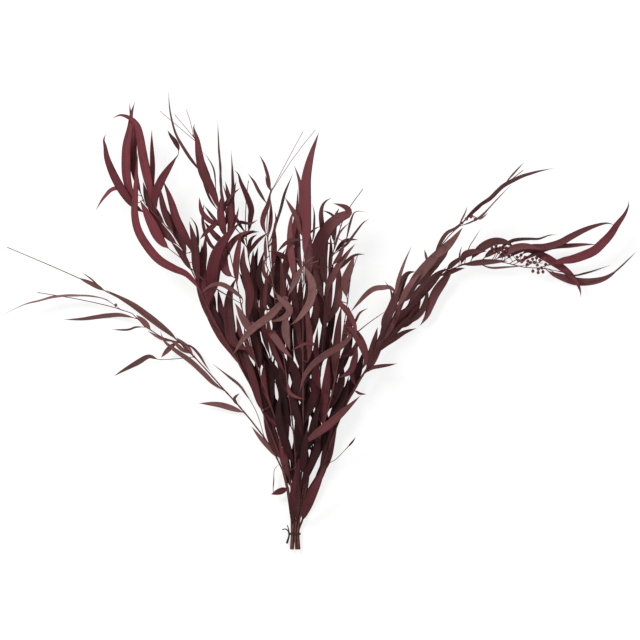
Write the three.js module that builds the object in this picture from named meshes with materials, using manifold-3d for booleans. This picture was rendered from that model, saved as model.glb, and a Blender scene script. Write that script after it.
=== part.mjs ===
// A bunch of dried, dyed long-leaved eucalyptus, lying on a surface, in millimetres.
// The stems run along +Y, +Z is up, and the twine tie lies at the origin with its underside at z = 0.
// Each leafy stem is one solid: its stem, twigs, leaves and buds are fused. The tie is a solid of its own.
import * as THREE from "three";
import { mergeVertices } from "three/addons/utils/BufferGeometryUtils.js";
import Module from "manifold-3d";

const wasm = await Module();
wasm.setup();

// Stems and the way they are packed at the tie, three rows of 3, 4 and 3
const STEM_RADIUS = 1.5;
const STEM_TIP_RADIUS = 0.55;
const STEM_PITCH = 3.6;
const ROW_HEIGHT = 2.95;
const CUT_END_Y = -23.5;
const TIED_FROM_Y = -4;
const TIED_TO_Y = 6;
const CUT_END_LEAN = 1.3;
const CLEARANCE = 0.4;
const STEM_SIDES = 5;
const STEM_STEP = 30;
const TWIG_SIDES = 3;
const ROOT_STEP = 3;
const ROOT_REACH = 8;

// Twine of the tie
const TWINE_RADIUS = 0.6;
const TWINE_SIDES = 6;
const TWINE_TURNS = [-1.04, 0, 1.04];
const TWINE_CORNERS = 12;
const TWINE_STEP = 3.5;

// Leaves
const BLADE_THICKNESS = 1.0;
const STALK_WIDTH = 1.3;
const WIDEST_TURNED = 10;
const WIDTH_TO_LENGTH = 0.085;
const STATION_STEP = 28;
const FEWEST_STATIONS = 3;
const MOST_STATIONS = 7;
const BLADE_SHAPE = [0.16, 0.6, 0.9, 1.0, 0.97, 0.86, 0.66, 0.36, 0];

// Buds
const BUD_STALK_RADIUS = 0.45;
const BUD_PROFILE = [[-2.8, 0.5], [0, 2.8]];
const BUD_TIP = 3.4;
const BUD_CORNERS = [[1, 0], [0, 1], [-1, 0], [0, -1]];

// Edges shorter than this are taken out after joining
const JOIN_TOLERANCE = 0.1;

// A filling leaf: how far forward its points lie, how far outward, and how much of its bend they take
const FILLER_PATH = [[0.3, 0.55, 0], [0.65, 0.96, -0.3], [1, 1, 0.9]];
const FILLER_WIDTH = [10, 15];
const FILLER_SPREAD = [0.5, 1.5];
const FILLER_RISE = [-26, 8];

// Room that a leaf keeps to the other leafy stems: it passes above or below them
const ROOM = 9;
const OWN_ROOM = 5;
const LEVEL_WEIGHT = 3;
const OTHERS_WEIGHT = 1000;
const SAMPLE_STEP = 7;
const ROOT_FREE = 7;
const OWN_ROOT_FREE = 16;
const LOWEST = 1;
const LIFTS = [0, 5, -5, 10, -10, 16, -16, 23, -23, 31, -31, 40, -40, 50, -50];
const BOWS = [0, 9, -9];

// A leaf with this rise comes down to the surface and lies on it
const REST = -999;

// Row and place of each stem at the tie, counted from the middle, as [place, row]
// stem: [x, y, z] from the tie outwards
// twigs: [radius, rise, x, y, x, y, ...] from root to tip
// leaves: [width seen from above, stalk length, rise of the tip, x, y, x, y, ...] from root to tip
// buds: [x, y, height above its twig]
// fillers: [from, to, count, shortest, longest, spread, side], leaves placed by rule on a stretch of the
// stem; side is 1 at its right, -1 at its left and 0 at both
const SPRAYS = [
  {
    "name": "spray_centre",
    "seat": [-1, 1],
    "stem": [[1, 52, 15], [0, 127, 32], [-8, 202, 54], [-18, 277, 70], [-30, 352, 82], [-37, 412, 88],
      [-42, 457, 90], [-39, 502, 90], [-34, 520, 90]],
    "twigs": [
      [0.4, 12, -36, 515, -14, 555, 12, 603],
      [0.4, -8, -36, 515, 0, 568, 31, 607],
      [0.6, 22, -34, 420, -54, 413, -46, 411, -37, 396, -32, 374, -29, 360],
    ],
    "leaves": [
      [11, 4, 8, -30, 366, -22, 354, -10, 343, -8, 334, -18, 325, -36, 320],
      [12, 5, 26, -12, 356, -22, 345, -38, 328, -58, 313, -77, 294, -94, 267],
      [12, 3, 24, -36, 303, -30, 297, -18, 280, -3, 265],
      [13, 6, 14, -15, 325, -13, 300, -7, 277],
      [6, 4, 20, -14, 232, -8, 214, 3, 207, 15, 204],
      [5, 4, 6, -36, 515, -39, 532, -43, 547, -47, 558, -53, 568],
      [4, 3, -4, -37, 513, -40, 523, -44, 538],
      [8, 6, 8, -45, 445, -48, 465, -46, 480, -40, 495, -36, 517],
      [6, 5, -8, -40, 442, -36, 472, -36, 502],
      [4, 5, 12, -36, 438, -33, 450, -28, 470, -30, 485],
      [4, 4, -10, -34, 432, -27, 446],
      [4.5, 8, 12, -34, 430, -29, 465, -22, 487, -16, 510, -10, 525, -3, 541],
      [5, 5, -10, -43, 495, -46, 502, -55, 517, -61, 529, -70, 541],
      [10, 6, 10, -18, 335, -17, 360, -18, 385, -21, 415],
      [9, 6, -14, -12, 345, -6, 366, 4, 384, 12, 402],
      [7, 6, 12, -44, 340, -43, 375, -40, 402],
      [8, 6, -18, -42, 425, -32, 424, -18, 418, 4, 405],
      [10, 8, 10, -12, 100, -14, 150, -9, 195, -2, 230, 2, 258],
      [9, 8, 14, 0, 100, 2, 140, 5, 180, 3, 215],
      [8, 6, -10, -20, 262, -18, 300, -16, 340, -10, 380],
      [9, 6, 6, -14, 240, -28, 268, -36, 292, -40, 316, -42, 338],
      [9, 6, -14, -33, 395, -32, 415, -31, 440, -31, 468],
      [5, 5, -6, -40, 405, -44, 425, -44, 450],
      [6, 6, -4, -36, 372, -45, 390, -47, 402, -46, 416],
      [11, 4, 6, -3, 13, -4, 34, -3, 60, 2, 100],
    ],
    "buds": [],
    "fillers": [[0.16, 0.72, 11, 80, 135, 0.14, 0], [0.2, 0.66, 3, 80, 120, 0.05, 0]],
  },
  {
    "name": "spray_tall_centre",
    "seat": [0, 1],
    "stem": [[6, 52, 17], [12, 127, 38], [12, 202, 64], [12, 277, 84], [12, 352, 98], [13, 405, 104],
      [15, 450, 106]],
    "twigs": [],
    "leaves": [
      [17, 8, 14, 11, 405, 15, 427, 17, 450, 16, 480, 16, 510, 17, 532, 20, 550, 25, 570, 30, 585, 36, 602],
      [13, 2, 14, 10, 405, 18, 395, 26, 376, 24, 352, 14, 335, 3, 322, -7, 315],
      [8, 8, -12, 9, 455, 10, 500, 8, 525, 4, 540, -1, 553],
      [11, 8, 6, 2, 380, -4, 410, -7, 442, -6, 470, -1, 488],
      [6, 4, 10, 2, 442, -12, 438, -27, 423],
      [8, 5, 16, 9, 452, 2, 476, -7, 492, -15, 505],
      [2.5, 3, 14, 13, 405, 22, 412, 30, 418],
      [2.5, 3, 6, 15, 404, 27, 408, 37, 411],
      [2.5, 3, 10, 10, 408, 5, 412, -1, 415],
      [3, 5, -10, 26, 440, 29, 478, 26, 495],
      [3, 5, -6, 20, 450, 28, 457, 38, 462],
      [5, 4, 18, 30, 286, 16, 287, 4, 282, -6, 276],
      [13, 8, 66, 5, 130, 20, 142, 36, 155, 52, 167, 66, 180, 80, 193, 98, 210],
      [12, 8, 8, 5, 270, 8, 300, 10, 330, 8, 352],
      [10, 8, 12, 20, 262, 22, 300, 18, 330, 16, 350],
      [10, 8, -14, 12, 330, 20, 360, 24, 395, 20, 425],
      [9, 8, -12, 2, 330, -1, 365, 0, 400, 2, 430],
      [13, 7, -18, 13, 368, 20, 398, 21, 430, 19, 468],
      [9, 2, 16, 11, 405, 5, 390, -3, 373, -10, 358],
      [10, 6, -14, 10, 390, 5, 415, 4, 435, 5, 470],
      [8, 6, -6, 6, 320, 8, 350, 8, 370, 10, 392],
      [8, 6, 6, 9, 60, 5, 85, 5, 105, 9, 125],
      [8, 4, 10, 1, 18, 4, 42, 5, 68, 3, 90],
    ],
    "buds": [],
    "fillers": [[0.18, 0.76, 11, 80, 130, 0.14, 0], [0.22, 0.7, 3, 80, 120, 0.05, 0]],
  },
  {
    "name": "spray_front_right",
    "seat": [1, 1],
    "stem": [[13, 52, 14], [26, 112, 26], [45, 172, 42], [60, 232, 58], [70, 292, 70], [79, 352, 78],
      [85, 397, 82], [94, 420, 84]],
    "twigs": [],
    "leaves": [
      [11, 5, 22, 84, 300, 75, 289, 63, 280, 45, 270, 27, 256, 14, 238, 7, 214],
      [14, 6, 12, 38, 160, 36, 185, 33, 210, 31, 240, 31, 272, 34, 312],
      [14, 6, 6, 38, 158, 43, 187, 46, 217, 49, 245, 50, 272],
      [14, 6, 4, 24, 120, 13, 150, 14, 170, 17, 192, 22, 226],
      [13, 6, 8, 72, 350, 75, 378, 82, 399, 89, 420],
      [9, 5, 10, 66, 350, 76, 338, 84, 326, 90, 312, 91, 296],
      [13, 2, 8, 71, 312, 84, 309, 96, 294, 104, 276, 106, 262, 100, 248],
      [4, 5, -8, 88, 318, 97, 333, 109, 340],
      [1.6, 10, 12, 80, 295, 93, 304, 112, 319, 136, 336],
      [12, 8, -8, 46, 215, 52, 245, 55, 270, 52, 300],
      [12, 8, 6, 56, 225, 62, 280, 66, 320, 70, 345],
      [10, 8, 10, 68, 232, 82, 245, 90, 265, 92, 290],
      [9, 8, -10, 68, 268, 80, 270, 90, 280, 93, 294],
      [10, 6, 10, 16, 90, 26, 115, 34, 140, 38, 162],
      [11, 5, 6, 10, 31, 15, 44, 22, 62, 31, 80, 38, 98],
      [12, 5, -6, 69, 286, 76, 303, 82, 322, 80, 343],
    ],
    "buds": [],
    "fillers": [[0.26, 0.6, 7, 75, 115, 0.11, 0]],
  },
  {
    "name": "spray_inner_left",
    "seat": [-0.5, 0],
    "stem": [[-4, 52, 9], [-15, 127, 20], [-34, 187, 36], [-55, 247, 50], [-72, 307, 60], [-85, 367, 68],
      [-97, 420, 72], [-110, 470, 74], [-120, 517, 76], [-142, 577, 78], [-153, 600, 80]],
    "twigs": [
      [0.4, 6, -152, 598, -156, 618, -162, 637],
      [0.4, -6, -150, 594, -165, 612, -180, 630],
      [0.4, 10, -148, 588, -175, 612, -201, 634],
    ],
    "leaves": [
      [15, 8, 10, -71, 312, -69, 340, -67, 362, -73, 388, -78, 408, -76, 435],
      [13, 6, 26, -66, 300, -58, 316, -68, 312, -78, 326, -85, 340, -90, 348],
      [7, 8, 26, -75, 345, -78, 353, -88, 363, -99, 371, -110, 376, -122, 375, -133, 369, -141, 361],
      [14, 8, 12, -111, 480, -120, 507, -129, 526, -138, 546, -143, 570, -146, 592, -151, 609, -149, 616],
      [5, 6, 14, -130, 538, -141, 546, -154, 562, -166, 580, -177, 600, -183, 619, -187, 640, -189, 663],
      [4, 6, -12, -112, 483, -124, 498, -133, 517, -142, 547],
      [2.5, 6, 8, -114, 510, -120, 544, -130, 565, -138, 573],
      [8, 5, 16, -109, 476, -120, 465, -131, 455, -142, 443],
      [6, 5, -8, -120, 430, -131, 445, -137, 465, -138, 480, -136, 498],
      [5, 5, -14, -108, 455, -112, 463, -124, 478, -136, 494],
      [17, 8, -10, -68, 270, -92, 290, -98, 315, -100, 342, -97, 366, -88, 386],
      [12, 8, 8, -50, 190, -62, 230, -74, 270, -84, 300],
      [13, 8, 6, -25, 150, -42, 190, -47, 230, -46, 262],
      [14, 4, -6, -90, 386, -100, 392, -106, 403, -107, 420, -104, 448],
      [10, 6, 10, -100, 440, -96, 470, -98, 500, -104, 530],
      [12, 6, 10, -101, 440, -108, 463, -111, 486, -108, 512],
      [8, 6, 8, -109, 462, -126, 470, -139, 484, -143, 506],
      [1.6, 8, 14, -85, 345, -120, 370, -142, 387, -165, 409],
      [9, 6, -8, -98, 425, -110, 440, -122, 452, -136, 470],
      [8, 6, 6, -58, 255, -68, 275, -73, 292, -76, 312],
      [8, 6, 4, -8, 80, -14, 100, -20, 125, -24, 150],
      [7, 6, 4, -70, 280, -80, 298, -84, 312, -88, 330],
      [10, 6, 6, -84, 372, -88, 395, -87, 415, -83, 440, -81, 455],
      [8, 6, -6, -104, 455, -100, 480, -94, 505, -88, 530],
      [6, 4, 10, -111, 474, -104, 494, -93, 510, -82, 519],
      [5, 4, 6, -101, 438, -96, 458, -88, 474, -84, 492],
    ],
    "buds": [],
    "fillers": [[0.14, 0.46, 7, 80, 125, 0.13, 0]],
  },
  {
    "name": "spray_tall_left",
    "seat": [-1.5, 0],
    "stem": [[-6, 37, 8], [-12, 75, 12], [-24, 120, 18], [-41, 165, 24], [-59, 207, 30], [-78, 247, 36],
      [-100, 285, 41], [-123, 325, 45], [-140, 362, 48], [-155, 397, 50], [-172, 435, 52], [-190, 460, 53],
      [-214, 485, 54], [-229, 502, 55], [-236, 525, 56]],
    "twigs": [],
    "leaves": [
      [13, 8, 16, -226, 484, -246, 499, -266, 529, -280, 561, -284, 582, -286, 592, -283, 601],
      [6, 5, -10, -230, 508, -268, 520, -286, 507, -299, 487],
      [14, 8, 8, -238, 498, -246, 513, -252, 535, -253, 562, -252, 585, -247, 610, -245, 630, -240, 649],
      [14, 8, 20, -208, 484, -214, 505, -220, 532, -225, 555, -229, 577, -232, 598, -236, 613, -246, 624,
        -261, 629, -273, 624],
      [11, 8, -16, -232, 500, -241, 545, -243, 600, -249, 648],
      [8, 6, -8, -214, 488, -215, 525, -214, 555, -215, 585, -215, 608],
      [13, 2, 6, -139, 358, -150, 378, -164, 392, -182, 400, -204, 413, -222, 434, -235, 457, -240, 482,
        -239, 510, -237, 544, -235, 574],
      [13, 8, 12, -206, 478, -210, 505, -201, 530, -190, 548, -181, 561, -176, 569],
      [13, 6, 8, -155, 427, -168, 454, -178, 475, -184, 495, -190, 513, -198, 532],
      [16, 38, 12, -152, 410, -193, 433, -205, 448, -214, 466, -223, 484, -232, 502],
      [12, 6, -4, -76, 248, -92, 272, -112, 299, -130, 331, -141, 360],
      [4, 6, 10, -152, 412, -146, 440, -148, 463, -157, 477],
      [12, 8, -8, -160, 412, -170, 440, -186, 470, -200, 500],
      [13, 8, 10, -143, 372, -148, 405, -150, 435, -158, 470],
      [12, 8, -12, -170, 432, -188, 446, -208, 470, -222, 500],
      [10, 8, 12, -178, 445, -190, 470, -198, 495, -203, 525],
      [11, 8, -10, -190, 460, -205, 478, -220, 500, -228, 530],
      [17, 3, 4, -20, 108, -30, 134, -37, 157, -43, 180, -49, 200],
      [12, 5, 8, -63, 218, -74, 245, -86, 272, -100, 310, -108, 335],
      [10, 1, 8, -9, 69, -18, 66, -27, 63, -36, 60],
      [14, 8, 12, -126, 328, -137, 362, -140, 395, -136, 425, -134, 452],
      [12, 8, -10, -110, 300, -128, 330, -142, 365, -150, 400],
      [9, 6, 4, -150, 392, -162, 408, -172, 424, -186, 440],
      [11, 6, 6, -96, 285, -107, 315, -112, 342, -116, 370],
      [19, 8, 36, -130, 338, -128, 355, -124, 375, -123, 397, -117, 421, -106, 441, -93, 457, -81, 469],
      [13, 8, 26, -128, 345, -121, 372, -117, 400, -106, 420, -93, 440, -78, 452, -60, 457],
      [2, 26, 10, -9, 69, -20, 66, -30, 61, -33, 66, -32, 80, -31, 97, -23, 106],
      [7, 108, 18, -206, 478, -210, 505, -201, 530, -190, 548, -181, 561, -175, 571, -175, 580, -180, 590,
        -186, 598, -191, 607],
    ],
    "buds": [],
    "fillers": [[0.3, 0.7, 4, 80, 120, 0.11, 1]],
  },
  {
    "name": "spray_inner_right",
    "seat": [0.5, 0],
    "stem": [[10, 52, 9], [25, 127, 18], [34, 202, 30], [41, 277, 42], [46, 352, 52], [53, 405, 56],
      [62, 442, 58], [75, 480, 60], [87, 499, 60], [102, 519, 60]],
    "twigs": [],
    "leaves": [
      [20, 8, 24, 27, 405, 33, 427, 42, 448, 54, 465, 68, 476, 80, 482, 76, 491, 57, 497],
      [8, 5, 12, 43, 440, 41, 460, 39, 480, 41, 493, 47, 501, 55, 505],
      [4, 4, -8, 66, 462, 56, 480, 41, 487],
      [4, 6, 8, 64, 418, 76, 435, 84, 445, 93, 457, 102, 468, 111, 474],
      [4, 6, 14, 57, 420, 66, 451, 81, 468],
      [6, 6, -6, 57, 418, 72, 439, 82, 443, 94, 443],
      [10, 6, 10, 45, 345, 49, 372, 57, 388, 64, 402, 73, 415, 82, 427, 91, 437],
      [6, 6, -10, 56, 385, 76, 409, 85, 417, 94, 421, 105, 421],
      [13, 8, 8, 40, 300, 48, 340, 52, 380, 58, 410],
      [12, 8, -10, 45, 310, 62, 345, 66, 380, 64, 415],
      [10, 8, -6, 36, 240, 40, 275, 44, 310, 45, 345],
      [9, 8, 12, 60, 430, 58, 455, 60, 475, 66, 490],
      [13, 7, 8, 49, 368, 43, 392, 43, 418, 50, 446],
      [11, 7, -10, 46, 345, 35, 378, 33, 410, 40, 442],
      [7, 5, 8, 56, 400, 64, 414, 70, 426, 74, 440],
      [6, 6, 6, 50, 385, 53, 410, 54, 430, 53, 450],
      [3, 5, 10, 76, 442, 83, 468, 90, 484, 105, 485],
      [11, 6, 4, 6, 34, 12, 58, 16, 84, 18, 110, 18, 135],
    ],
    "buds": [],
    "fillers": [[0.2, 0.7, 4, 80, 125, 0.14, 0]],
  },
  {
    "name": "spray_upper_right",
    "seat": [1.5, 0],
    "stem": [[17, 37, 8], [34, 82, 12], [55, 142, 18], [79, 199, 26], [105, 244, 32], [127, 292, 38],
      [154, 345, 43], [187, 390, 46], [217, 432, 49], [244, 462, 51], [270, 484, 52], [307, 520, 53],
      [324, 532, 54], [342, 547, 55]],
    "twigs": [
      [0.45, 10, 48, 98, 62, 113, 75, 124, 81, 133],
    ],
    "leaves": [
      [16, 8, 14, 160, 352, 180, 382, 199, 405, 217, 425, 238, 449],
      [12, 6, -8, 150, 338, 155, 362, 162, 382, 170, 393, 181, 395],
      [5, 6, 12, 146, 332, 153, 370, 157, 387, 163, 405, 169, 420, 175, 433],
      [4, 3, 10, 200, 405, 197, 416, 194, 428],
      [6, 5, 12, 207, 420, 225, 450, 240, 460, 250, 470],
      [8, 6, -8, 190, 388, 206, 398, 216, 410, 226, 422, 232, 437],
      [11, 6, 18, 206, 408, 223, 427, 237, 443, 251, 461],
      [7, 5, 6, 247, 463, 262, 481, 277, 495, 292, 505, 304, 517, 315, 526, 337, 537, 352, 542, 367, 546,
        387, 550],
      [2.5, 5, 8, 310, 523, 319, 532, 327, 541, 343, 559],
      [3.5, 5, -6, 247, 459, 262, 469, 277, 477, 292, 492, 307, 508, 324, 525],
      [2.5, 4, 8, 246, 463, 249, 471, 255, 483, 258, 493],
      [3, 4, -5, 268, 478, 277, 474, 289, 483],
      [8, 5, -8, 136, 315, 147, 348, 143, 367],
      [2.5, 4, 8, 148, 345, 143, 368, 134, 381],
      [9, 6, 10, 122, 290, 137, 320, 147, 350],
      [8, 10, 10, 156, 352, 145, 370, 132, 371, 118, 369, 106, 360, 95, 348, 83, 334],
      [6, 5, 6, 103, 240, 115, 250, 127, 253, 142, 255, 153, 257],
      [4, 5, 6, 82, 214, 90, 216, 97, 212, 107, 211],
      [3, 4, 6, 81, 132, 86, 139, 91, 146],
      [14, 2, 4, 10, 17, 16, 36, 24, 56, 34, 78, 47, 107],
      [17, 4, 8, 36, 82, 43, 102, 48, 120, 52, 140, 58, 165, 67, 192],
      [9, 8, 8, 112, 262, 125, 285, 136, 310, 150, 330],
      [9, 8, -8, 126, 300, 133, 320, 144, 345, 149, 368],
      [10, 8, 8, 150, 335, 160, 352, 172, 374, 190, 396],
      [10, 6, 4, 104, 245, 113, 268, 119, 290, 124, 312],
      [8, 2, 4, 92, 222, 86, 236, 86, 256, 92, 280],
      [7, 6, -4, 158, 345, 170, 356, 178, 370, 190, 384],
      [8, 5, -4, 172, 370, 188, 380, 200, 390, 214, 402],
      [9, 4, 5, 104, 240, 115, 257, 124, 273, 133, 291],
    ],
    "buds": [[250, 468, 3], [257, 474, 5], [264, 477, 2], [270, 473, 6]],
    "fillers": [[0.24, 0.6, 2, 65, 105, 0.08, -1]],
  },
  {
    "name": "spray_centre_left",
    "seat": [0, -1],
    "stem": [[-2, 52, 5], [-8, 127, 10], [-22, 202, 18], [-40, 277, 26], [-56, 345, 32], [-68, 405, 36],
      [-74, 450, 38], [-74, 495, 39], [-70, 532, 40]],
    "twigs": [],
    "leaves": [
      [5, 8, 10, -80, 440, -96, 470, -108, 502, -111, 525, -112, 555, -114, 577, -116, 621],
      [5, 8, -6, -78, 450, -90, 475, -94, 498, -94, 532, -96, 577],
      [6, 6, 8, -80, 455, -92, 480, -98, 497, -108, 525],
      [9, 8, 12, -72, 445, -69, 460, -67, 476, -66, 490, -73, 510, -81, 528, -85, 541, -91, 547],
      [5, 5, 14, -76, 455, -85, 469, -67, 467, -56, 473],
      [6, 5, -8, -74, 430, -80, 446, -68, 454, -54, 455],
      [6, 6, 8, -72, 418, -67, 442, -57, 451],
      [6, 6, 16, -68, 415, -66, 428, -55, 442, -40, 454],
      [10, 8, 12, -12, 120, -30, 140, -36, 175, -37, 210, -33, 250, -30, 275],
      [9, 8, 8, -34, 240, -50, 262, -55, 290, -60, 330, -63, 360],
      [9, 8, 14, -36, 260, -46, 300, -50, 340, -52, 380],
      [12, 8, 10, -54, 330, -60, 350, -63, 390, -63, 428],
      [12, 10, REST, -30, 330, -20, 380, -8, 430, 2, 480, 4, 520],
      [12, 8, -10, -50, 320, -44, 360, -30, 400, -14, 430],
      [9, 6, 3, -6, 62, -10, 84, -12, 108, -16, 132],
    ],
    "buds": [],
    "fillers": [[0.2, 0.7, 7, 80, 125, 0.15, 0]],
  },
  {
    "name": "spray_budded_right",
    "seat": [1, -1],
    "stem": [[20, 40, 3.6], [40, 90, 5], [59, 157, 8], [83, 210, 12], [114, 259, 15], [144, 307, 18],
      [175, 352, 20], [205, 379, 22], [235, 400, 23], [262, 409, 24], [289, 414, 25], [315, 409, 25],
      [337, 403, 25], [360, 400, 24], [380, 400, 22], [405, 394, 20]],
    "twigs": [
      [0.5, 6, 296, 413, 303, 424, 300, 432],
      [0.5, -4, 322, 407, 334, 414, 345, 412],
      [0.5, 7, 345, 402, 360, 410, 372, 408],
    ],
    "leaves": [
      [14, 10, 16, 366, 404, 400, 411, 417, 414, 435, 420, 450, 427, 462, 438, 474, 451, 484, 466, 495, 481,
        501, 495, 500, 502],
      [11, 10, 10, 312, 414, 345, 430, 375, 432, 397, 438, 415, 448, 435, 458, 454, 465, 469, 468, 481, 465],
      [8, 12, 4, 330, 408, 375, 428, 394, 433, 412, 434, 435, 436, 454, 436],
      [12, 10, 10, 330, 418, 352, 427, 375, 418, 390, 409, 405, 399, 417, 388, 426, 376, 430, 364, 430, 357],
      [12, 3, REST, 376, 398, 386, 393, 402, 387, 422, 381, 442, 380, 460, 383, 474, 389, 490, 401],
      [2.5, 5, 4, 403, 394, 420, 390, 435, 393, 450, 397, 474, 405],
      [9, 6, 8, 165, 338, 185, 366, 198, 378, 217, 394, 237, 401],
      [14, 2, -10, 238, 401, 226, 384, 212, 364, 204, 345, 198, 328, 188, 314],
      [9, 6, -6, 122, 268, 135, 285, 150, 295, 165, 304, 183, 310],
      [9, 6, -6, 202, 374, 196, 348, 186, 330, 168, 318, 147, 307],
      [8, 6, 6, 145, 312, 158, 330, 168, 338, 184, 348],
      [11, 3, 8, 249, 406, 255, 420, 270, 425, 288, 426],
      [2.5, 4, 4, 246, 408, 248, 424, 251, 433],
      [2, 4, 8, 255, 410, 262, 432, 268, 442, 279, 459],
      [13, 5, 12, 262, 409, 270, 421, 283, 433, 297, 440, 311, 441, 322, 437, 330, 430],
      [5, 8, 4, 300, 412, 312, 433, 324, 441, 335, 444, 352, 445, 367, 445, 382, 450, 393, 451],
      [9, 5, -4, 280, 412, 295, 424, 307, 429, 320, 432],
      [2.5, 5, -4, 270, 408, 292, 402, 315, 402, 352, 405],
      [9, 4, 5, 248, 404, 270, 408, 292, 410, 320, 411],
      [9, 6, 8, 130, 282, 145, 300, 163, 318, 178, 334],
      [9, 6, -4, 160, 330, 180, 350, 200, 370, 216, 388, 228, 403],
      [12, 6, 4, 300, 414, 318, 424, 332, 431, 350, 433, 372, 428],
      [9, 6, 6, 128, 285, 146, 315, 158, 342, 170, 362],
      [9, 6, -4, 140, 300, 156, 318, 170, 334, 186, 352],
      [12, 8, 2, 146, 308, 168, 318, 182, 338, 190, 356],
      [8, 3, 4, 226, 396, 234, 404, 244, 412, 254, 420],
      [7, 3, -3, 218, 389, 230, 393, 243, 398, 256, 401],
      [2.5, 90, REST, 382, 398, 402, 388, 422, 381, 442, 380, 460, 383, 474, 389, 487, 399, 500, 411,
        515, 426],
    ],
    "buds": [[296, 431, 2], [302, 434, 5], [308, 431, 3], [306, 424, 6], [313, 420, 3], [318, 425, 5],
      [322, 418, 2], [334, 417, 5], [340, 420, 2], [346, 417, 4], [350, 411, 6], [341, 410, 7],
      [349, 406, 2], [357, 414, 5], [363, 416, 2], [368, 412, 5], [374, 414, 3], [377, 406, 5],
      [371, 401, 2], [364, 405, 7], [358, 396, -3], [366, 394, -4], [300, 426, 4], [311, 427, 6],
      [317, 431, 3], [327, 421, 4], [336, 412, 6], [344, 413, 3], [354, 409, 4], [360, 409, 6],
      [366, 399, 3], [373, 395, 2]],
    "fillers": [[0.12, 0.42, 3, 60, 90, 0.07, -1]],
  },
  {
    "name": "spray_low_left",
    "seat": [-1, -1],
    "stem": [[-7, 30, 3.4], [-11, 60, 4], [-17, 90, 5], [-27, 115, 6], [-43, 140, 7], [-64, 168, 8],
      [-82, 190, 9], [-105, 215, 10], [-127, 240, 11], [-150, 265, 12], [-175, 290, 13], [-195, 307, 15],
      [-217, 324, 17], [-247, 345, 20], [-285, 366, 23], [-322, 384, 26], [-367, 404, 30], [-433, 432, 34]],
    "twigs": [
      [0.6, 8, -172, 288, -202, 297, -225, 312, -237, 328, -267, 340, -322, 353, -388, 364],
    ],
    "leaves": [
      [7, 4, 5, -284, 366, -306, 377, -326, 386],
      [10, 2, 8, -176, 291, -188, 302, -203, 314, -225, 331, -247, 347, -285, 368],
      [2.5, 4, 5, -290, 369, -305, 383, -320, 394],
      [3.5, 10, 10, -262, 340, -285, 353, -307, 358, -337, 359, -363, 357, -382, 352, -409, 345, -438, 331],
      [7, 5, REST, -236, 326, -262, 330, -285, 329, -300, 327, -322, 324, -349, 323],
      [9, 3, 5, -215, 308, -228, 320, -239, 330],
      [3.5, 5, -4, -224, 312, -240, 312, -252, 308, -276, 308],
      [5, 4, -4, -180, 290, -202, 295, -222, 306],
      [8, 55, 2, -152, 266, -180, 264, -205, 263, -220, 268, -237, 259, -255, 249, -273, 238],
      [8, 4, 5, -175, 289, -187, 282, -202, 266],
      [8, 4, -4, -150, 267, -163, 281, -179, 296],
      [4, 5, -6, -172, 289, -157, 283, -145, 271, -135, 255, -127, 244],
      [8, 2, 6, -104, 213, -122, 227, -140, 245, -156, 260, -180, 277, -196, 290, -203, 306],
      [9, 2, 4, -76, 182, -94, 189, -110, 194, -124, 196, -145, 197],
      [3.5, 60, 8, -45, 145, -55, 175, -63, 193, -72, 208, -82, 223, -100, 238, -124, 256],
      [7, 2, -3, -27, 115, -38, 128, -52, 144, -66, 162],
      [5, 4, -3, -84, 190, -92, 203, -84, 212],
      [6, 3, 3, -160, 268, -170, 278, -180, 287, -190, 292],
    ],
    "buds": [[-270, 345, 3]],
    "fillers": [],
  },
];

// The same draw of numbers each time, between 0 and 1
function seededDraw(seed) {
  let state = seed;
  return () => {
    state = (state * 16807) % 2147483647;
    return state / 2147483647;
  };
}

const add = (a, b, k) => [a[0] + b[0] * k, a[1] + b[1] * k, a[2] + b[2] * k];
const gap = (a, b) => Math.sqrt((a[0] - b[0]) ** 2 + (a[1] - b[1]) ** 2 + (a[2] - b[2]) ** 2);
const limit = (value, low, high) => Math.min(Math.max(value, low), high);

// Points on a smooth curve through the given ones
function smooth(points, steps) {
  const last = points.length - 1;
  const curve = [points[0]];
  for (let i = 0; i < last; i += 1) {
    const [a, b, c, d] = [i - 1, i, i + 1, i + 2].map((k) => points[limit(k, 0, last)]);
    for (let step = 1; step <= steps; step += 1) {
      const t = step / steps;
      curve.push([0, 1, 2].map((k) => {
        const slopeIn = c[k] - a[k];
        const slopeOut = d[k] - b[k];
        const rest = 3 * (c[k] - b[k]) - slopeIn - slopeOut * 0.5;
        const cubic = slopeIn * 0.5 + slopeOut * 0.5 - 2 * (c[k] - b[k]);
        return b[k] + t * (slopeIn * 0.5 + t * (rest + t * cubic));
      }));
    }
  }
  return curve;
}

// A route that can be asked for the point and the direction at any length along it
function measured(points) {
  const reach = [0];
  for (let i = 1; i < points.length; i += 1) {
    reach.push(reach[i - 1] + gap(points[i], points[i - 1]));
  }
  return { points, reach, length: reach[reach.length - 1] };
}

function pointAt(route, s) {
  let i = 1;
  while (i < route.points.length - 1 && route.reach[i] < s) {
    i += 1;
  }
  const share = (s - route.reach[i - 1]) / (route.reach[i] - route.reach[i - 1]);
  const [a, b] = [route.points[i - 1], route.points[i]];
  return [0, 1, 2].map((k) => a[k] + (b[k] - a[k]) * share);
}

// The same route as straight stretches of about one length
function stretches(route, step) {
  const count = Math.max(2, Math.round(route.length / step));
  const points = [];
  for (let i = 0; i <= count; i += 1) {
    points.push(pointAt(route, (route.length * i) / count));
  }
  return measured(points);
}

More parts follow.
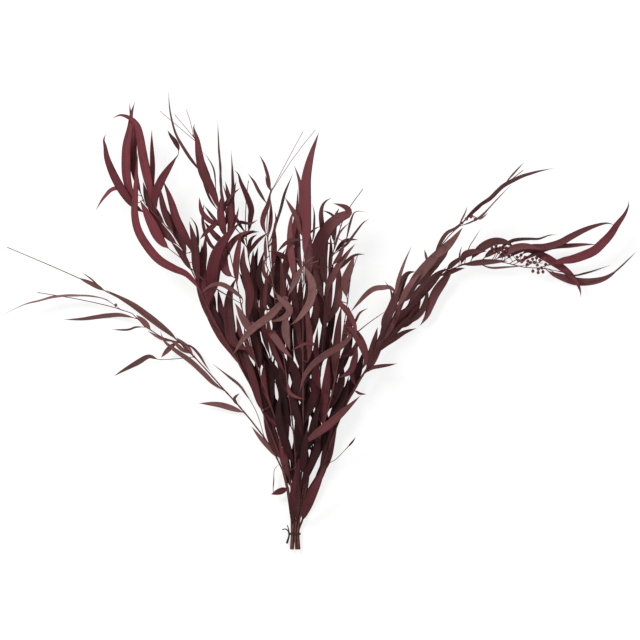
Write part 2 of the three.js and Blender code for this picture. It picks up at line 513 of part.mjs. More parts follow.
// Tangent, sideways and upward directions of a route at a length along it
function frameAt(route, s) {
  const before = pointAt(route, Math.max(s - 2, 0));
  const after = pointAt(route, Math.min(s + 2, route.length));
  const size = gap(before, after);
  const tangent = [0, 1, 2].map((k) => (after[k] - before[k]) / size);
  const flat = Math.sqrt(tangent[0] * tangent[0] + tangent[1] * tangent[1]);
  const side = [tangent[1] / flat, -tangent[0] / flat, 0];
  const up = [
    side[1] * tangent[2],
    -side[0] * tangent[2],
    side[0] * tangent[1] - side[1] * tangent[0],
  ];
  return { tangent, side, up };
}

// A closed solid through rings of points, with an end face or a point at each end
function loft(rings) {
  const sides = rings[1].length;
  const positions = [];
  const starts = rings.map((ring) => {
    const start = positions.length / 3;
    ring.forEach((point) => positions.push(...point));
    return start;
  });
  const faces = [];
  for (let i = 1; i < rings.length; i += 1) {
    const [a, b] = [starts[i - 1], starts[i]];
    const pointed = [rings[i - 1].length === 1, rings[i].length === 1];
    for (let k = 0; k < sides; k += 1) {
      const next = (k + 1) % sides;
      if (!pointed[1]) {
        faces.push([pointed[0] ? a : a + k, b + k, b + next]);
      }
      if (!pointed[0]) {
        faces.push([a + k, pointed[1] ? b : b + next, a + next]);
      }
    }
  }
  for (let k = 1; k < sides - 1; k += 1) {
    const end = starts[starts.length - 1];
    if (rings[0].length > 1) {
      faces.push([0, k, k + 1]);
    }
    if (rings[rings.length - 1].length > 1) {
      faces.push([end, end + k + 1, end + k]);
    }
  }
  const geometry = new THREE.BufferGeometry();
  geometry.setAttribute("position", new THREE.Float32BufferAttribute(positions, 3));
  geometry.setIndex(faces.flat());
  return geometry;
}

// A three.js geometry as a solid that can be joined to others, turned the right way out
function solidOf(geometry) {
  geometry.deleteAttribute("normal");
  geometry.deleteAttribute("uv");
  const merged = mergeVertices(geometry, 1e-4);
  const triVerts = new Uint32Array(merged.index.array);
  const vertProperties = new Float32Array(merged.attributes.position.array);
  const solid = new wasm.Manifold(new wasm.Mesh({ numProp: 3, vertProperties, triVerts }));
  if (solid.volume() > 0) {
    return solid;
  }
  for (let i = 0; i < triVerts.length; i += 3) {
    [triVerts[i], triVerts[i + 1]] = [triVerts[i + 1], triVerts[i]];
  }
  return new wasm.Manifold(new wasm.Mesh({ numProp: 3, vertProperties, triVerts }));
}

// Pieces joined to one body: a hollow that joining seals is filled, and a loose scrap is dropped
function joined(geometries) {
  let solid = solidOf(geometries[0]);
  for (const geometry of geometries.slice(1)) {
    solid = solid.add(solidOf(geometry));
  }
  const bodies = solid.asOriginal().simplify(JOIN_TOLERANCE).decompose();
  const body = bodies.reduce((a, b) => (b.volume() > a.volume() ? b : a));
  const { vertProperties, triVerts } = body.getMesh();
  const geometry = new THREE.BufferGeometry();
  geometry.setAttribute("position", new THREE.BufferAttribute(vertProperties, 3));
  geometry.setIndex(new THREE.BufferAttribute(triVerts, 1));
  return geometry;
}

// A tube whose radius runs evenly from its first to its last value
function tube(route, firstRadius, lastRadius, sides) {
  const rings = route.points.map((point, i) => {
    const s = route.reach[i];
    const { side, up } = frameAt(route, s);
    const radius = firstRadius + ((lastRadius - firstRadius) * s) / route.length;
    const ring = [];
    for (let k = 0; k < sides; k += 1) {
      const angle = (2 * Math.PI * (k + 0.5)) / sides;
      const across = add(point, side, radius * Math.cos(angle));
      ring.push(add(across, up, radius * Math.sin(angle)));
    }
    return ring;
  });
  return loft(rings);
}

// Half width of a blade, as a share of its widest, at a share of its length
function bladeShape(t) {
  const place = t * (BLADE_SHAPE.length - 1);
  const i = Math.min(Math.floor(place), BLADE_SHAPE.length - 2);
  return BLADE_SHAPE[i] + (BLADE_SHAPE[i + 1] - BLADE_SHAPE[i]) * (place - i);
}

// Width and turn of a leaf: one that looks narrow from above is a wider one seen on edge
function leafForm(seen, stalk, length, handed) {
  const turned = handed === 0 ? 0 : Math.min(WIDEST_TURNED, length * WIDTH_TO_LENGTH);
  const width = Math.max(seen, turned);
  const lying = seen / width;
  return { width, stalk, lying, standing: handed * Math.sqrt(1 - lying * lying) };
}

// Centre, half width and directions of a leaf at a length along its route
function bladeAt(route, form, s) {
  const share = limit((s - form.stalk) / (route.length - form.stalk), 0, 1);
  const half = Math.max(form.width * bladeShape(share), STALK_WIDTH * (1 - share)) / 2;
  const { side, up } = frameAt(route, s);
  const across = add([0, 0, 0], side, form.lying);
  const upright = add([0, 0, 0], up, form.lying);
  return {
    centre: pointAt(route, s),
    half,
    across: add(across, up, form.standing),
    normal: add(upright, side, -form.standing),
  };
}

function leafGeometry(route, form) {
  const blade = route.length - form.stalk;
  const count = limit(Math.round(blade / STATION_STEP), FEWEST_STATIONS, MOST_STATIONS);
  const lengths = [0];
  for (let i = 0; i < count; i += 1) {
    lengths.push(form.stalk + (blade * i) / count);
  }
  const rings = lengths.map((s) => {
    const { centre, half, across, normal } = bladeAt(route, form, s);
    const edges = add(centre, normal, BLADE_THICKNESS / 2);
    const keel = add(centre, normal, -BLADE_THICKNESS / 2);
    return [add(edges, across, half), keel, add(edges, across, -half)];
  });
  rings.push([pointAt(route, route.length)]);
  return loft(rings);
}

// Points spread over a leaf, by which its distance to the other leaves is judged
function leafSamples(route, form) {
  const samples = [];
  const count = Math.ceil(route.length / SAMPLE_STEP);
  for (let i = 0; i <= count; i += 1) {
    const s = (route.length * i) / count;
    if (s > ROOT_FREE) {
      const { centre, half, across } = bladeAt(route, form, s);
      [-1, -0.34, 0.34, 1].forEach((k) => samples.push([...add(centre, across, half * k), s]));
    }
  }
  return samples;
}

function boxOf(samples) {
  const low = [0, 1, 2].map((k) => Math.min(...samples.map((point) => point[k])));
  const high = [0, 1, 2].map((k) => Math.max(...samples.map((point) => point[k])));
  return { low, high };
}

function areNear(a, b, room) {
  const flat = (a[0] - b[0]) * (a[0] - b[0]) + (a[1] - b[1]) * (a[1] - b[1]);
  const level = (a[2] - b[2]) * LEVEL_WEIGHT;
  return flat + level * level < room * room;
}

// How many points of a new leaf come too near another piece, or the surface
function crowding(samples, owner, placed) {
  const box = boxOf(samples);
  let count = samples.filter((point) => point[2] < LOWEST).length * OTHERS_WEIGHT;
  for (const other of placed) {
    const own = other.owner === owner;
    const apart = [0, 1, 2].some(
      (k) => other.box.low[k] > box.high[k] + ROOM || box.low[k] > other.box.high[k] + ROOM,
    );
    if (apart || (own && other.isBranch)) {
      continue;
    }
    const room = own ? OWN_ROOM : ROOM;
    const near = samples.filter((a) => {
      const judged = !own || a[3] > OWN_ROOT_FREE;
      return judged && other.samples.some((b) => areNear(a, b, room));
    });
    count += near.length * (own ? 1 : OTHERS_WEIGHT);
  }
  return count;
}

// The point of a stem's branches that is nearest in plan to the given one
function nearestOn(branches, x, y) {
  let best = branches[0].points[0];
  let least = Infinity;
  for (const branch of branches) {
    for (const point of stretches(branch, ROOT_STEP).points.slice(1, -2)) {
      const distance = (point[0] - x) * (point[0] - x) + (point[1] - y) * (point[1] - y);
      if (distance < least) {
        least = distance;
        best = point;
      }
    }
  }
  return best;
}

// A route in space from a plan: it starts on its branch and rises or falls along its length
function routeFrom(branches, plan, rise, bow) {
  const root = nearestOn(branches, plan[0], plan[1]);
  const points = [[root[0], root[1], 0]];
  for (let i = 0; i < plan.length; i += 2) {
    if (i > 0 || plan.length === 2 || gap(points[0], [plan[0], plan[1], 0]) > ROOT_REACH) {
      points.push([plan[i], plan[i + 1], 0]);
    }
  }
  const flat = measured(smooth(points, 6));
  const resting = rise === REST;
  const raised = flat.points.map((point, i) => {
    const t = flat.reach[i] / flat.length;
    const settled = Math.min(t / 0.55, 1);
    const level = resting
      ? root[2] + (BLADE_THICKNESS / 2 - root[2]) * settled * settled * (3 - 2 * settled)
      : root[2] + rise * t * (1.6 - 0.6 * t) + bow * 4 * t * (1 - t);
    return [point[0], point[1], level];
  });
  return measured(raised);
}

// The leaf's route whose rise keeps it clear of the other leafy stems, nearest to the wished one.
// lean is 1 where it first tries to pass above them, and -1 where it first tries to pass below
function clearLeaf(spray, branches, placed, row, handed, lean) {
  const [seen, stalk, rise, ...plan] = row;
  const resting = rise === REST;
  let best = null;
  for (const bow of resting ? [0] : BOWS) {
    for (const lift of resting ? [0] : LIFTS) {
      const route = routeFrom(branches, plan, rise + lift * lean, bow);
      const form = leafForm(seen, stalk, route.length, resting ? 0 : handed);
      const samples = leafSamples(route, form);
      const count = resting ? 0 : crowding(samples, spray.name, placed);
      if (best === null || count < best.count) {
        best = { route, form, samples, count };
      }
      if (count === 0) {
        return best;
      }
    }
  }
  return best;
}

// A leaf placed by rule: it leaves the stem at one side and bends back along it
function fillerRow(stem, s, side, length, width, rise, spread, bend) {
  const root = pointAt(stem, s);
  const { tangent } = frameAt(stem, s);
  const out = [tangent[1] * side, -tangent[0] * side, 0];
  const row = [width, 7, rise, root[0], root[1]];
  FILLER_PATH.forEach(([forward, outward, bent]) => {
    const point = add(add(root, tangent, length * forward), out, length * spread * (outward + bend * bent));
    row.push(point[0], point[1]);
  });
  return row;
}

// The route of a stem from its cut end: below the tie the cut ends part to the left and right
function stemRoute(spray) {
  const [place, row] = spray.seat;
  const x = place * STEM_PITCH;
  const z = TWINE_RADIUS * 2 + CLEARANCE + STEM_RADIUS + (row + 1) * ROW_HEIGHT;
  const fanned = stretches(measured(smooth([[x, TIED_TO_Y, z], ...spray.stem], 6)), STEM_STEP);
  const lean = place < 0 ? -CUT_END_LEAN : CUT_END_LEAN;
  return measured([[x + lean, CUT_END_Y, z], [x, TIED_FROM_Y, z], ...fanned.points]);
}

// A bud on its stalk: the stalk's end swells to the bud, which closes in a blunt cap
function budGeometry(stalk) {
  const { tangent, side, up } = frameAt(stalk, stalk.length);
  const end = stalk.points[stalk.points.length - 1];
  const ringAt = (centre, radius) => BUD_CORNERS.map(
    ([x, y]) => add(add(centre, side, radius * x), up, radius * y),
  );
  const rings = BUD_PROFILE.map(([forward, radius]) => ringAt(add(end, tangent, forward), radius));
  const root = ringAt(stalk.points[0], BUD_STALK_RADIUS);
  return loft([root, ...rings, [add(end, tangent, BUD_TIP)]]);
}

const placed = [];

function place(owner, samples, isBranch) {
  placed.push({ owner, samples, isBranch, box: boxOf(samples) });
}

// Stems and twigs come first, so that every leaf is kept clear of all of them
const grown = SPRAYS.map((spray) => {
  const stem = stemRoute(spray);
  const pieces = [tube(stem, STEM_RADIUS, STEM_TIP_RADIUS, STEM_SIDES)];
  const branches = [stem];
  for (const [radius, rise, ...plan] of spray.twigs) {
    const twig = stretches(routeFrom(branches, plan, rise, 0), STEM_STEP);
    pieces.push(tube(twig, radius * 1.3, radius, TWIG_SIDES));
    branches.push(twig);
  }
  for (const [x, y, height] of spray.buds) {
    const stalk = stretches(routeFrom(branches, [x, y], height, 0), STEM_STEP);
    pieces.push(budGeometry(stalk));
    place(spray.name, stalk.points, true);
  }
  branches.forEach((branch) => place(spray.name, stretches(branch, SAMPLE_STEP).points, true));
  return { spray, stem, branches, pieces };
});

// Then the leaves that are placed by hand, and last those that fill the bunch
grown.forEach(({ spray, branches, pieces }) => {
  spray.leaves.forEach((row, i) => {
    const leaf = clearLeaf(spray, branches, placed, row, i % 2 === 0 ? 1 : -1, 1);
    pieces.push(leafGeometry(leaf.route, leaf.form));
    place(spray.name, leaf.samples, false);
  });
});

grown.forEach(({ spray, stem, branches, pieces }, index) => {
  const draw = seededDraw(7001 + index * 97);
  for (const [from, to, count, shortest, longest, spread, onlySide] of spray.fillers) {
    for (let i = 0; i < count; i += 1) {
      const s = stem.length * (from + ((to - from) * (i + draw() * 0.6)) / count);
      const side = onlySide || (i % 2 === 0 ? 1 : -1);
      const length = shortest + (longest - shortest) * draw();
      const width = FILLER_WIDTH[0] + (FILLER_WIDTH[1] - FILLER_WIDTH[0]) * draw();
      const rise = FILLER_RISE[0] + (FILLER_RISE[1] - FILLER_RISE[0]) * draw();
      const spreading = spread * (FILLER_SPREAD[0] + (FILLER_SPREAD[1] - FILLER_SPREAD[0]) * draw());
      const row = fillerRow(stem, s, side, length, width, rise, spreading, draw() * 2 - 1);
      const leaf = clearLeaf(spray, branches, placed, row, side, -1);
      if (leaf.count < OTHERS_WEIGHT) {
        pieces.push(leafGeometry(leaf.route, leaf.form));
        place(spray.name, leaf.samples, false);
      }
    }
  }
});

// The outline that the twine takes round the packed stems, in the plane across them
function twineOutline(steps) {
  const middle = TWINE_RADIUS * 2 + CLEARANCE + STEM_RADIUS + ROW_HEIGHT;
  const reach = (STEM_RADIUS + CLEARANCE + TWINE_RADIUS) / Math.cos(Math.PI / steps);
  const seats = SPRAYS.map(({ seat }) => [seat[0] * STEM_PITCH, seat[1] * ROW_HEIGHT]);
  const outline = [];
  for (let i = 0; i < steps; i += 1) {
    const angle = (2 * Math.PI * (i + 0.5)) / steps;
    const [x, z] = [Math.cos(angle), Math.sin(angle)];
    const seat = seats.reduce((a, b) => (b[0] * x + b[1] * z > a[0] * x + a[1] * z ? b : a));
    outline.push([seat[0] + x * reach, 0, middle + seat[1] + z * reach]);
  }
  return outline;
}

// Outward direction of a straight stretch of the twine
function outwards(from, to) {
  const size = gap(from, to);
  return [(to[2] - from[2]) / size, 0, -(to[0] - from[0]) / size];
}

// One turn of twine as a closed ring at a place along the stems
function twineTurn(offset) {
  const outline = twineOutline(TWINE_CORNERS);
  const rings = outline.map((point, i) => {
    const before = outline[(i + outline.length - 1) % outline.length];
    const after = outline[(i + 1) % outline.length];
    const [first, second] = [outwards(before, point), outwards(point, after)];
    const corner = 1 + first[0] * second[0] + first[2] * second[2];
    const out = [(first[0] + second[0]) / corner, 0, (first[2] + second[2]) / corner];
    const ring = [];
    for (let k = 0; k < TWINE_SIDES; k += 1) {
      const angle = (2 * Math.PI * k) / TWINE_SIDES;
      const radius = TWINE_RADIUS / Math.cos(Math.PI / TWINE_SIDES);
      const centre = [point[0], offset, point[2]];
      const raised = add(centre, out, radius * Math.sin(angle));
      ring.push(add(raised, [0, 1, 0], radius * Math.cos(angle)));
    }
    return ring;
  });
  const positions = rings.flat().flat();
  const faces = [];
  rings.forEach((ring, i) => {
    const a = i * TWINE_SIDES;
    const b = ((i + 1) % rings.length) * TWINE_SIDES;
    ring.forEach((point, k) => {
      const next = (k + 1) % TWINE_SIDES;
      faces.push(a + k, b + k, b + next, a + k, b + next, a + next);
    });
  });
  const geometry = new THREE.BufferGeometry();
  geometry.setAttribute("position", new THREE.Float32BufferAttribute(positions, 3));
  geometry.setIndex(faces);
  return geometry;
}

// The knot of the twine, at the left of the bundle, and its free ends as [radius at the knot, radius at
// the tip, [x, y, z], ...]
const KNOT = [-8.9, 0.4, 6.2];
const TWINE_ENDS = [
  [1.2, 0.8, KNOT, [-11, 5, 8], [-15, 7.4, 9.6], [-19.5, 6.2, 9]],
  [1.0, 0.75, KNOT, [-9.6, 5, 7], [-10.6, 9.6, 8.4], [-12, 13.4, 8]],
  [1.3, 1.9, KNOT, [-9.4, -4, 5.6], [-10.8, -9, 4.8], [-12.6, -14.5, 4.6]],
];

function tieGeometry() {
  const knot = new THREE.IcosahedronGeometry(1, 0);
  knot.scale(1.9, 2.3, 2);
  knot.translate(...KNOT);
  const ends = TWINE_ENDS.map(([rootRadius, tipRadius, ...points]) => {
    const route = measured(smooth(points, 4));
    return tube(stretches(route, TWINE_STEP), rootRadius, tipRadius, TWINE_SIDES);
  });
  return joined([...TWINE_TURNS.map(twineTurn), knot, ...ends]);
}

function finish(colour, roughness) {
  return new THREE.MeshStandardMaterial({ color: colour, roughness, metalness: 0, flatShading: true });
}

const group = new THREE.Group();
const leafColours = [0x6d3b3f, 0x73404a, 0x663634, 0x5d3236, 0x7a4450, 0x613a36, 0x6b3a3c, 0x54302f,
  0x70404a, 0x63403c];
grown.forEach(({ spray, pieces }, i) => {
  const mesh = new THREE.Mesh(joined(pieces), finish(leafColours[i], 0.75));
  mesh.name = spray.name;
  group.add(mesh);
});
const tie = new THREE.Mesh(tieGeometry(), finish(0x2e2a2c, 0.9));
tie.name = "tie";
group.add(tie);

export default group;
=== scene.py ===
import math
from bisect import bisect_left
from functools import reduce

import bpy
import numpy as np
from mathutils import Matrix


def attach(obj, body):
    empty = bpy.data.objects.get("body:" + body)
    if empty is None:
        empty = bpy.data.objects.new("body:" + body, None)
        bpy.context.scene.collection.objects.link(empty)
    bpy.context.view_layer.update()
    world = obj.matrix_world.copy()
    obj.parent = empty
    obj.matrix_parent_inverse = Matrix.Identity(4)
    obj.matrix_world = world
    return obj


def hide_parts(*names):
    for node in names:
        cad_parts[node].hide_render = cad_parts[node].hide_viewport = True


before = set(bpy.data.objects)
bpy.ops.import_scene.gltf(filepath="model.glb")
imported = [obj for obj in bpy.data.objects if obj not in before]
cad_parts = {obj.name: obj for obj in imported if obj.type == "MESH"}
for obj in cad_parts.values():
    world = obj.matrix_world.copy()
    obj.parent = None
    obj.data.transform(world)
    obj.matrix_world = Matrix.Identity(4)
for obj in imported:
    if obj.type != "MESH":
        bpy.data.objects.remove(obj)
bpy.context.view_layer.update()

# A bunch of dried, dyed long-leaved eucalyptus, lying on a pale floor and seen from above.
# The routes of its stems and leaves follow the same lists and rules as its solids, in millimetres.
MM = 0.001

# Points of a smooth route for each given one, and how far to each side of a place its direction is taken
ROUTE_STEPS = 6
FINE_STEPS = 8
FRAME_REACH = 2

# Stems and the way they are packed at the tie, three rows of 3, 4 and 3
STEM_RADIUS = 1.5
STEM_TIP_RADIUS = 0.55
STEM_PITCH = 3.6
ROW_HEIGHT = 2.95
CUT_END_Y = -23.5
TIED_FROM_Y = -4
TIED_TO_Y = 6
CUT_END_LEAN = 1.3
CLEARANCE = 0.4
STEM_STEP = 30
ROOT_STEP = 3
ROOT_REACH = 8
TWIG_ROOT = 1.3

# A fine stem: its sides, the spacing of its rings, its ridges and its swelling where a leaf grows
STEM_SIDES, TWIG_SIDES, STALK_SIDES = 10, 8, 7
THICK_STEP, THIN_STEP, THICK_FROM = 2.5, 3, 1
FEWEST_RINGS = 4
FINE_STEM = 0.97
RIDGES, RIDGE_HEIGHT = 3, 0.05
SWELLING, SWELLING_REACH = 0.28, 2.2
ROOT_SAMPLES, ROOT_NEAR = 200, 2

# Twine of the tie. A loose end has its radius at the knot, its radius at the tip and its points
TWINE_RADIUS = 0.6
TWINE_TURNS = [-1.04, 0, 1.04]
TURN_CORNERS = 64
TWINE_SIDES = 18
TWINE_STEP = 0.22
STRANDS, STRAND_TURN, STRAND_DEPTH = 3, 2.6, 0.2
KNOT = (-8.9, 0.4, 6.2)
TWINE_ENDS = [
    [1.2, 0.8, KNOT, (-11, 5, 8), (-15, 7.4, 9.6), (-19.5, 6.2, 9)],
    [1.0, 0.75, KNOT, (-9.6, 5, 7), (-10.6, 9.6, 8.4), (-12, 13.4, 8)],
    [1.3, 1.9, KNOT, (-9.4, -4, 5.6), (-10.8, -9, 4.8), (-12.6, -14.5, 4.6)],
]
# Coils of the knot: how far each is turned round, and how it leans
KNOT_COILS = [(0.0, 0.5), (1.6, -0.4), (3.1, 0.15)]
COIL_WIDTH, COIL_HEIGHT, COIL_CORNERS = 1.15, 1.45, 24

# Leaves as the rules place them
BLADE_THICKNESS = 1.0
STALK_WIDTH = 1.3
WIDEST_TURNED = 10
WIDTH_TO_LENGTH = 0.085
BLADE_SHAPE = [0.16, 0.6, 0.9, 1.0, 0.97, 0.86, 0.66, 0.36, 0]

# A fine leaf: the spacing and number of its stations, its stalk, the thinnest parts of its blade, the
# shares of its length by which that has opened and thinned, and the width from which it waves fully
FINE_STEP, FEWEST_STATIONS, MOST_STATIONS = 3.2, 9, 60
FINE_STALK, STALK_TO_WIDTH, STALK_DEPTH = 0.6, 0.2, 0.85
THINNEST, HALF_THICKNESS = 0.12, 0.14
OPEN_BY, THIN_BY = 0.1, 0.14
FULL_WIDTH = 12
NEAR_FLOOR = 0.06
# Its trough, twist, sway and waves, and its midrib, which sinks in above and stands out below
TROUGH, TROUGH_LEVEL, TROUGH_FADE = (0.1, 0.26), 0.3, 0.4
TWIST, SWAY, SWAY_PACE = (-0.15, 0.15), 0.08, 7
WAVE, WAVE_LENGTH = (0.12, 0.52), (22, 42)
RIB_WIDTH, RIB_ABOVE, RIB_BELOW, RIB_FADE = 0.1, 0.1, 0.26, 0.7
EDGE_THINNING = 0.55
PHASE = (0, 6)

# A bud from where its stalk swells to its pointed cap: how far along it, and its radius
BUD_STALK_RADIUS = 0.45
BUD_PROFILE = [(-3.4, 0.42), (-2.8, 0.65), (-2.0, 1.5), (-1.0, 2.3), (0, 2.62), (0.4, 2.7), (0.6, 2.5),
               (1.3, 2.1), (2.0, 1.5), (2.7, 0.8), (3.2, 0.28), (3.4, 0.08)]
BUD_SIDES, BUD_RIBS, BUD_RIB_HEIGHT = 14, 4, 0.035
BUD_SIZE = (0.92, 1.02)

# A filling leaf: how far forward its points lie, how far outward, and how much of its bend they take
FILLER_PATH = [(0.3, 0.55, 0), (0.65, 0.96, -0.3), (1, 1, 0.9)]
FILLER_STALK = 7
# Ranges from which the values of a filling leaf are drawn
FILLER_WIDTH = (10, 15)
FILLER_SPREAD = (0.5, 1.5)
FILLER_RISE = (-26, 8)
FILLER_SHIFT = (0, 0.6)

# Room that a leaf keeps to the other leafy stems: it passes above or below them
ROOM = 9
OWN_ROOM = 5
LEVEL_WEIGHT = 3
OTHERS_WEIGHT = 1000
SAMPLE_STEP = 7
SAMPLES_ACROSS = (-1, -0.34, 0.34, 1)
ROOT_FREE = 7
OWN_ROOT_FREE = 16
LOWEST = 1
LIFTS = [0, 5, -5, 10, -10, 16, -16, 23, -23, 31, -31, 40, -40, 50, -50]
BOWS = [0, 9, -9]

# A leaf gains more of its rise early on. One with the rise REST lies on the surface, and has come down
# to it by a share of its length
EARLY_RISE = 0.6
REST = -999
DOWN_BY = 0.55

# Seeds of the random draws: the first of each kind, and the step from one leafy stem to the next
FILLER_SEEDS = (7001, 97)
LOOK_SEEDS = (911, 53)
TIE_SEED = 4242
DRAW_FACTOR, DRAW_RANGE = 16807, 2147483647

